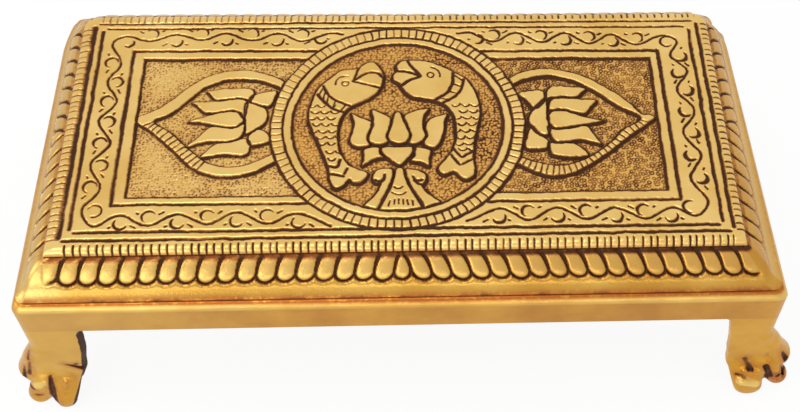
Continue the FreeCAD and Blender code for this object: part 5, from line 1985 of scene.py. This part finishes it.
dress(plaque, "top_plaque", "plaque_brass")
dress(moulding, "rim_moulding", "moulding_brass")
dress(apron, "apron_frame", "apron_brass")
for name, leg in legs.items():
    dress(leg, name, "leg_brass")
for name in ("plaque_screws", "frame_screws", "leg_screws"):
    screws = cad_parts[name]
    screws.data.materials.clear()
    screws.data.materials.append(metals["screw_brass"])
print("dressed", len(legs) + 3, "castings and 3 groups of screws")

# %% [markdown]
# ## Studio
# The table stands on a white sweep in soft light: an even sky that the flat brass mirrors, one lamp at the
# front left, a low strip in front for the fillet, a soft one overhead and a small one at the left. The
# floor glows a little for the camera and in the metal, so it stays pale and still holds the table's shadow.

# %% Lay the floor and the sky
FLOOR_HALF = 3000.0
FLOOR_GREY = 0.93
SKY_STRENGTH = 0.85
FLOOR_GLOW = 0.91


def seen_by_eye(tree):
    """1 where the camera looks, straight or by way of metal or glass, and 0 where only light goes."""
    path = add(tree, "ShaderNodeLightPath")
    seen = sums(tree, "MAXIMUM", path.outputs["Is Camera Ray"], path.outputs["Is Glossy Ray"])
    return sums(tree, "MAXIMUM", seen, path.outputs["Is Transmission Ray"])


def lay_floor():
    """A wide pale floor at the height of the feet."""
    points = [(x * FLOOR_HALF, y * FLOOR_HALF, 0.0) for x, y in ((-1, -1), (1, -1), (1, 1), (-1, 1))]
    floor = piece_from("floor", points, [(0, 1, 2, 3)])
    material = bpy.data.materials.new("pale_floor")
    material.use_nodes = True
    tree = material.node_tree
    shader = tree.nodes["Principled BSDF"]
    shader.inputs["Base Color"].default_value = (FLOOR_GREY, FLOOR_GREY, FLOOR_GREY, 1.0)
    shader.inputs["Roughness"].default_value = 0.85
    shader.inputs["Specular IOR Level"].default_value = 0.1
    seen = seen_by_eye(tree)
    glow = add(tree, "ShaderNodeEmission")
    blend = add(tree, "ShaderNodeMixShader")
    tree.links.new(sums(tree, "MULTIPLY", seen, FLOOR_GLOW), blend.inputs["Fac"])
    tree.links.new(shader.outputs["BSDF"], blend.inputs[1])
    tree.links.new(glow.outputs["Emission"], blend.inputs[2])
    tree.links.new(blend.outputs["Shader"], tree.nodes["Material Output"].inputs["Surface"])
    floor.data.materials.append(material)
    return floor


def paint_sky():
    """An even pale sky, white where the camera sees it."""
    world = bpy.data.worlds.new("sky")
    bpy.context.scene.world = world
    world.use_nodes = True
    tree = world.node_tree
    shade = tree.nodes["Background"]
    seen = seen_by_eye(tree)
    strength = sums(tree, "ADD", sums(tree, "MULTIPLY", seen, 1.0 - SKY_STRENGTH), SKY_STRENGTH)
    shade.inputs["Color"].default_value = (1.0, 1.0, 1.0, 1.0)
    tree.links.new(strength, shade.inputs["Strength"])
    return world


floor = lay_floor()
sky = paint_sky()
print("laid", floor.name, "under", sky.name)

# %% Hang the lamps
# each lamp's place, the point that it faces, its width and height, and its power
LAMPS = {
    "front left": ((-0.6, -0.85, 0.5), (-0.05, 0.0, 0.05), (0.5, 0.5), 1.9),
    "low front": ((-0.2, -1.4, 0.25), (0.0, 0.0, 0.05), (1.3, 0.25), 2.2),
    "overhead": ((-0.25, -0.2, 1.3), (0.0, 0.0, 0.06), (0.6, 0.6), 3.0),
    "left": ((-1.0, -0.1, 0.6), (0.0, 0.0, 0.05), (0.5, 0.5), 1.6),
}


def hang_lamp(name, place, aim, size, power):
    """A soft lamp of a width and height in metres and a power in watts, turned towards a point."""
    data = bpy.data.lights.new(name, "AREA")
    data.shape = "RECTANGLE"
    data.size, data.size_y = size
    data.energy = power
    lamp = bpy.data.objects.new(name, data)
    bpy.context.scene.collection.objects.link(lamp)
    lamp.location = place
    lamp.rotation_mode = "QUATERNION"
    lamp.rotation_quaternion = (Vector(place) - Vector(aim)).to_track_quat("Z", "Y")
    return lamp


for name, facts in LAMPS.items():
    hang_lamp(name, *facts)
bpy.context.scene.view_settings.view_transform = "Standard"
print("lamps", list(LAMPS))
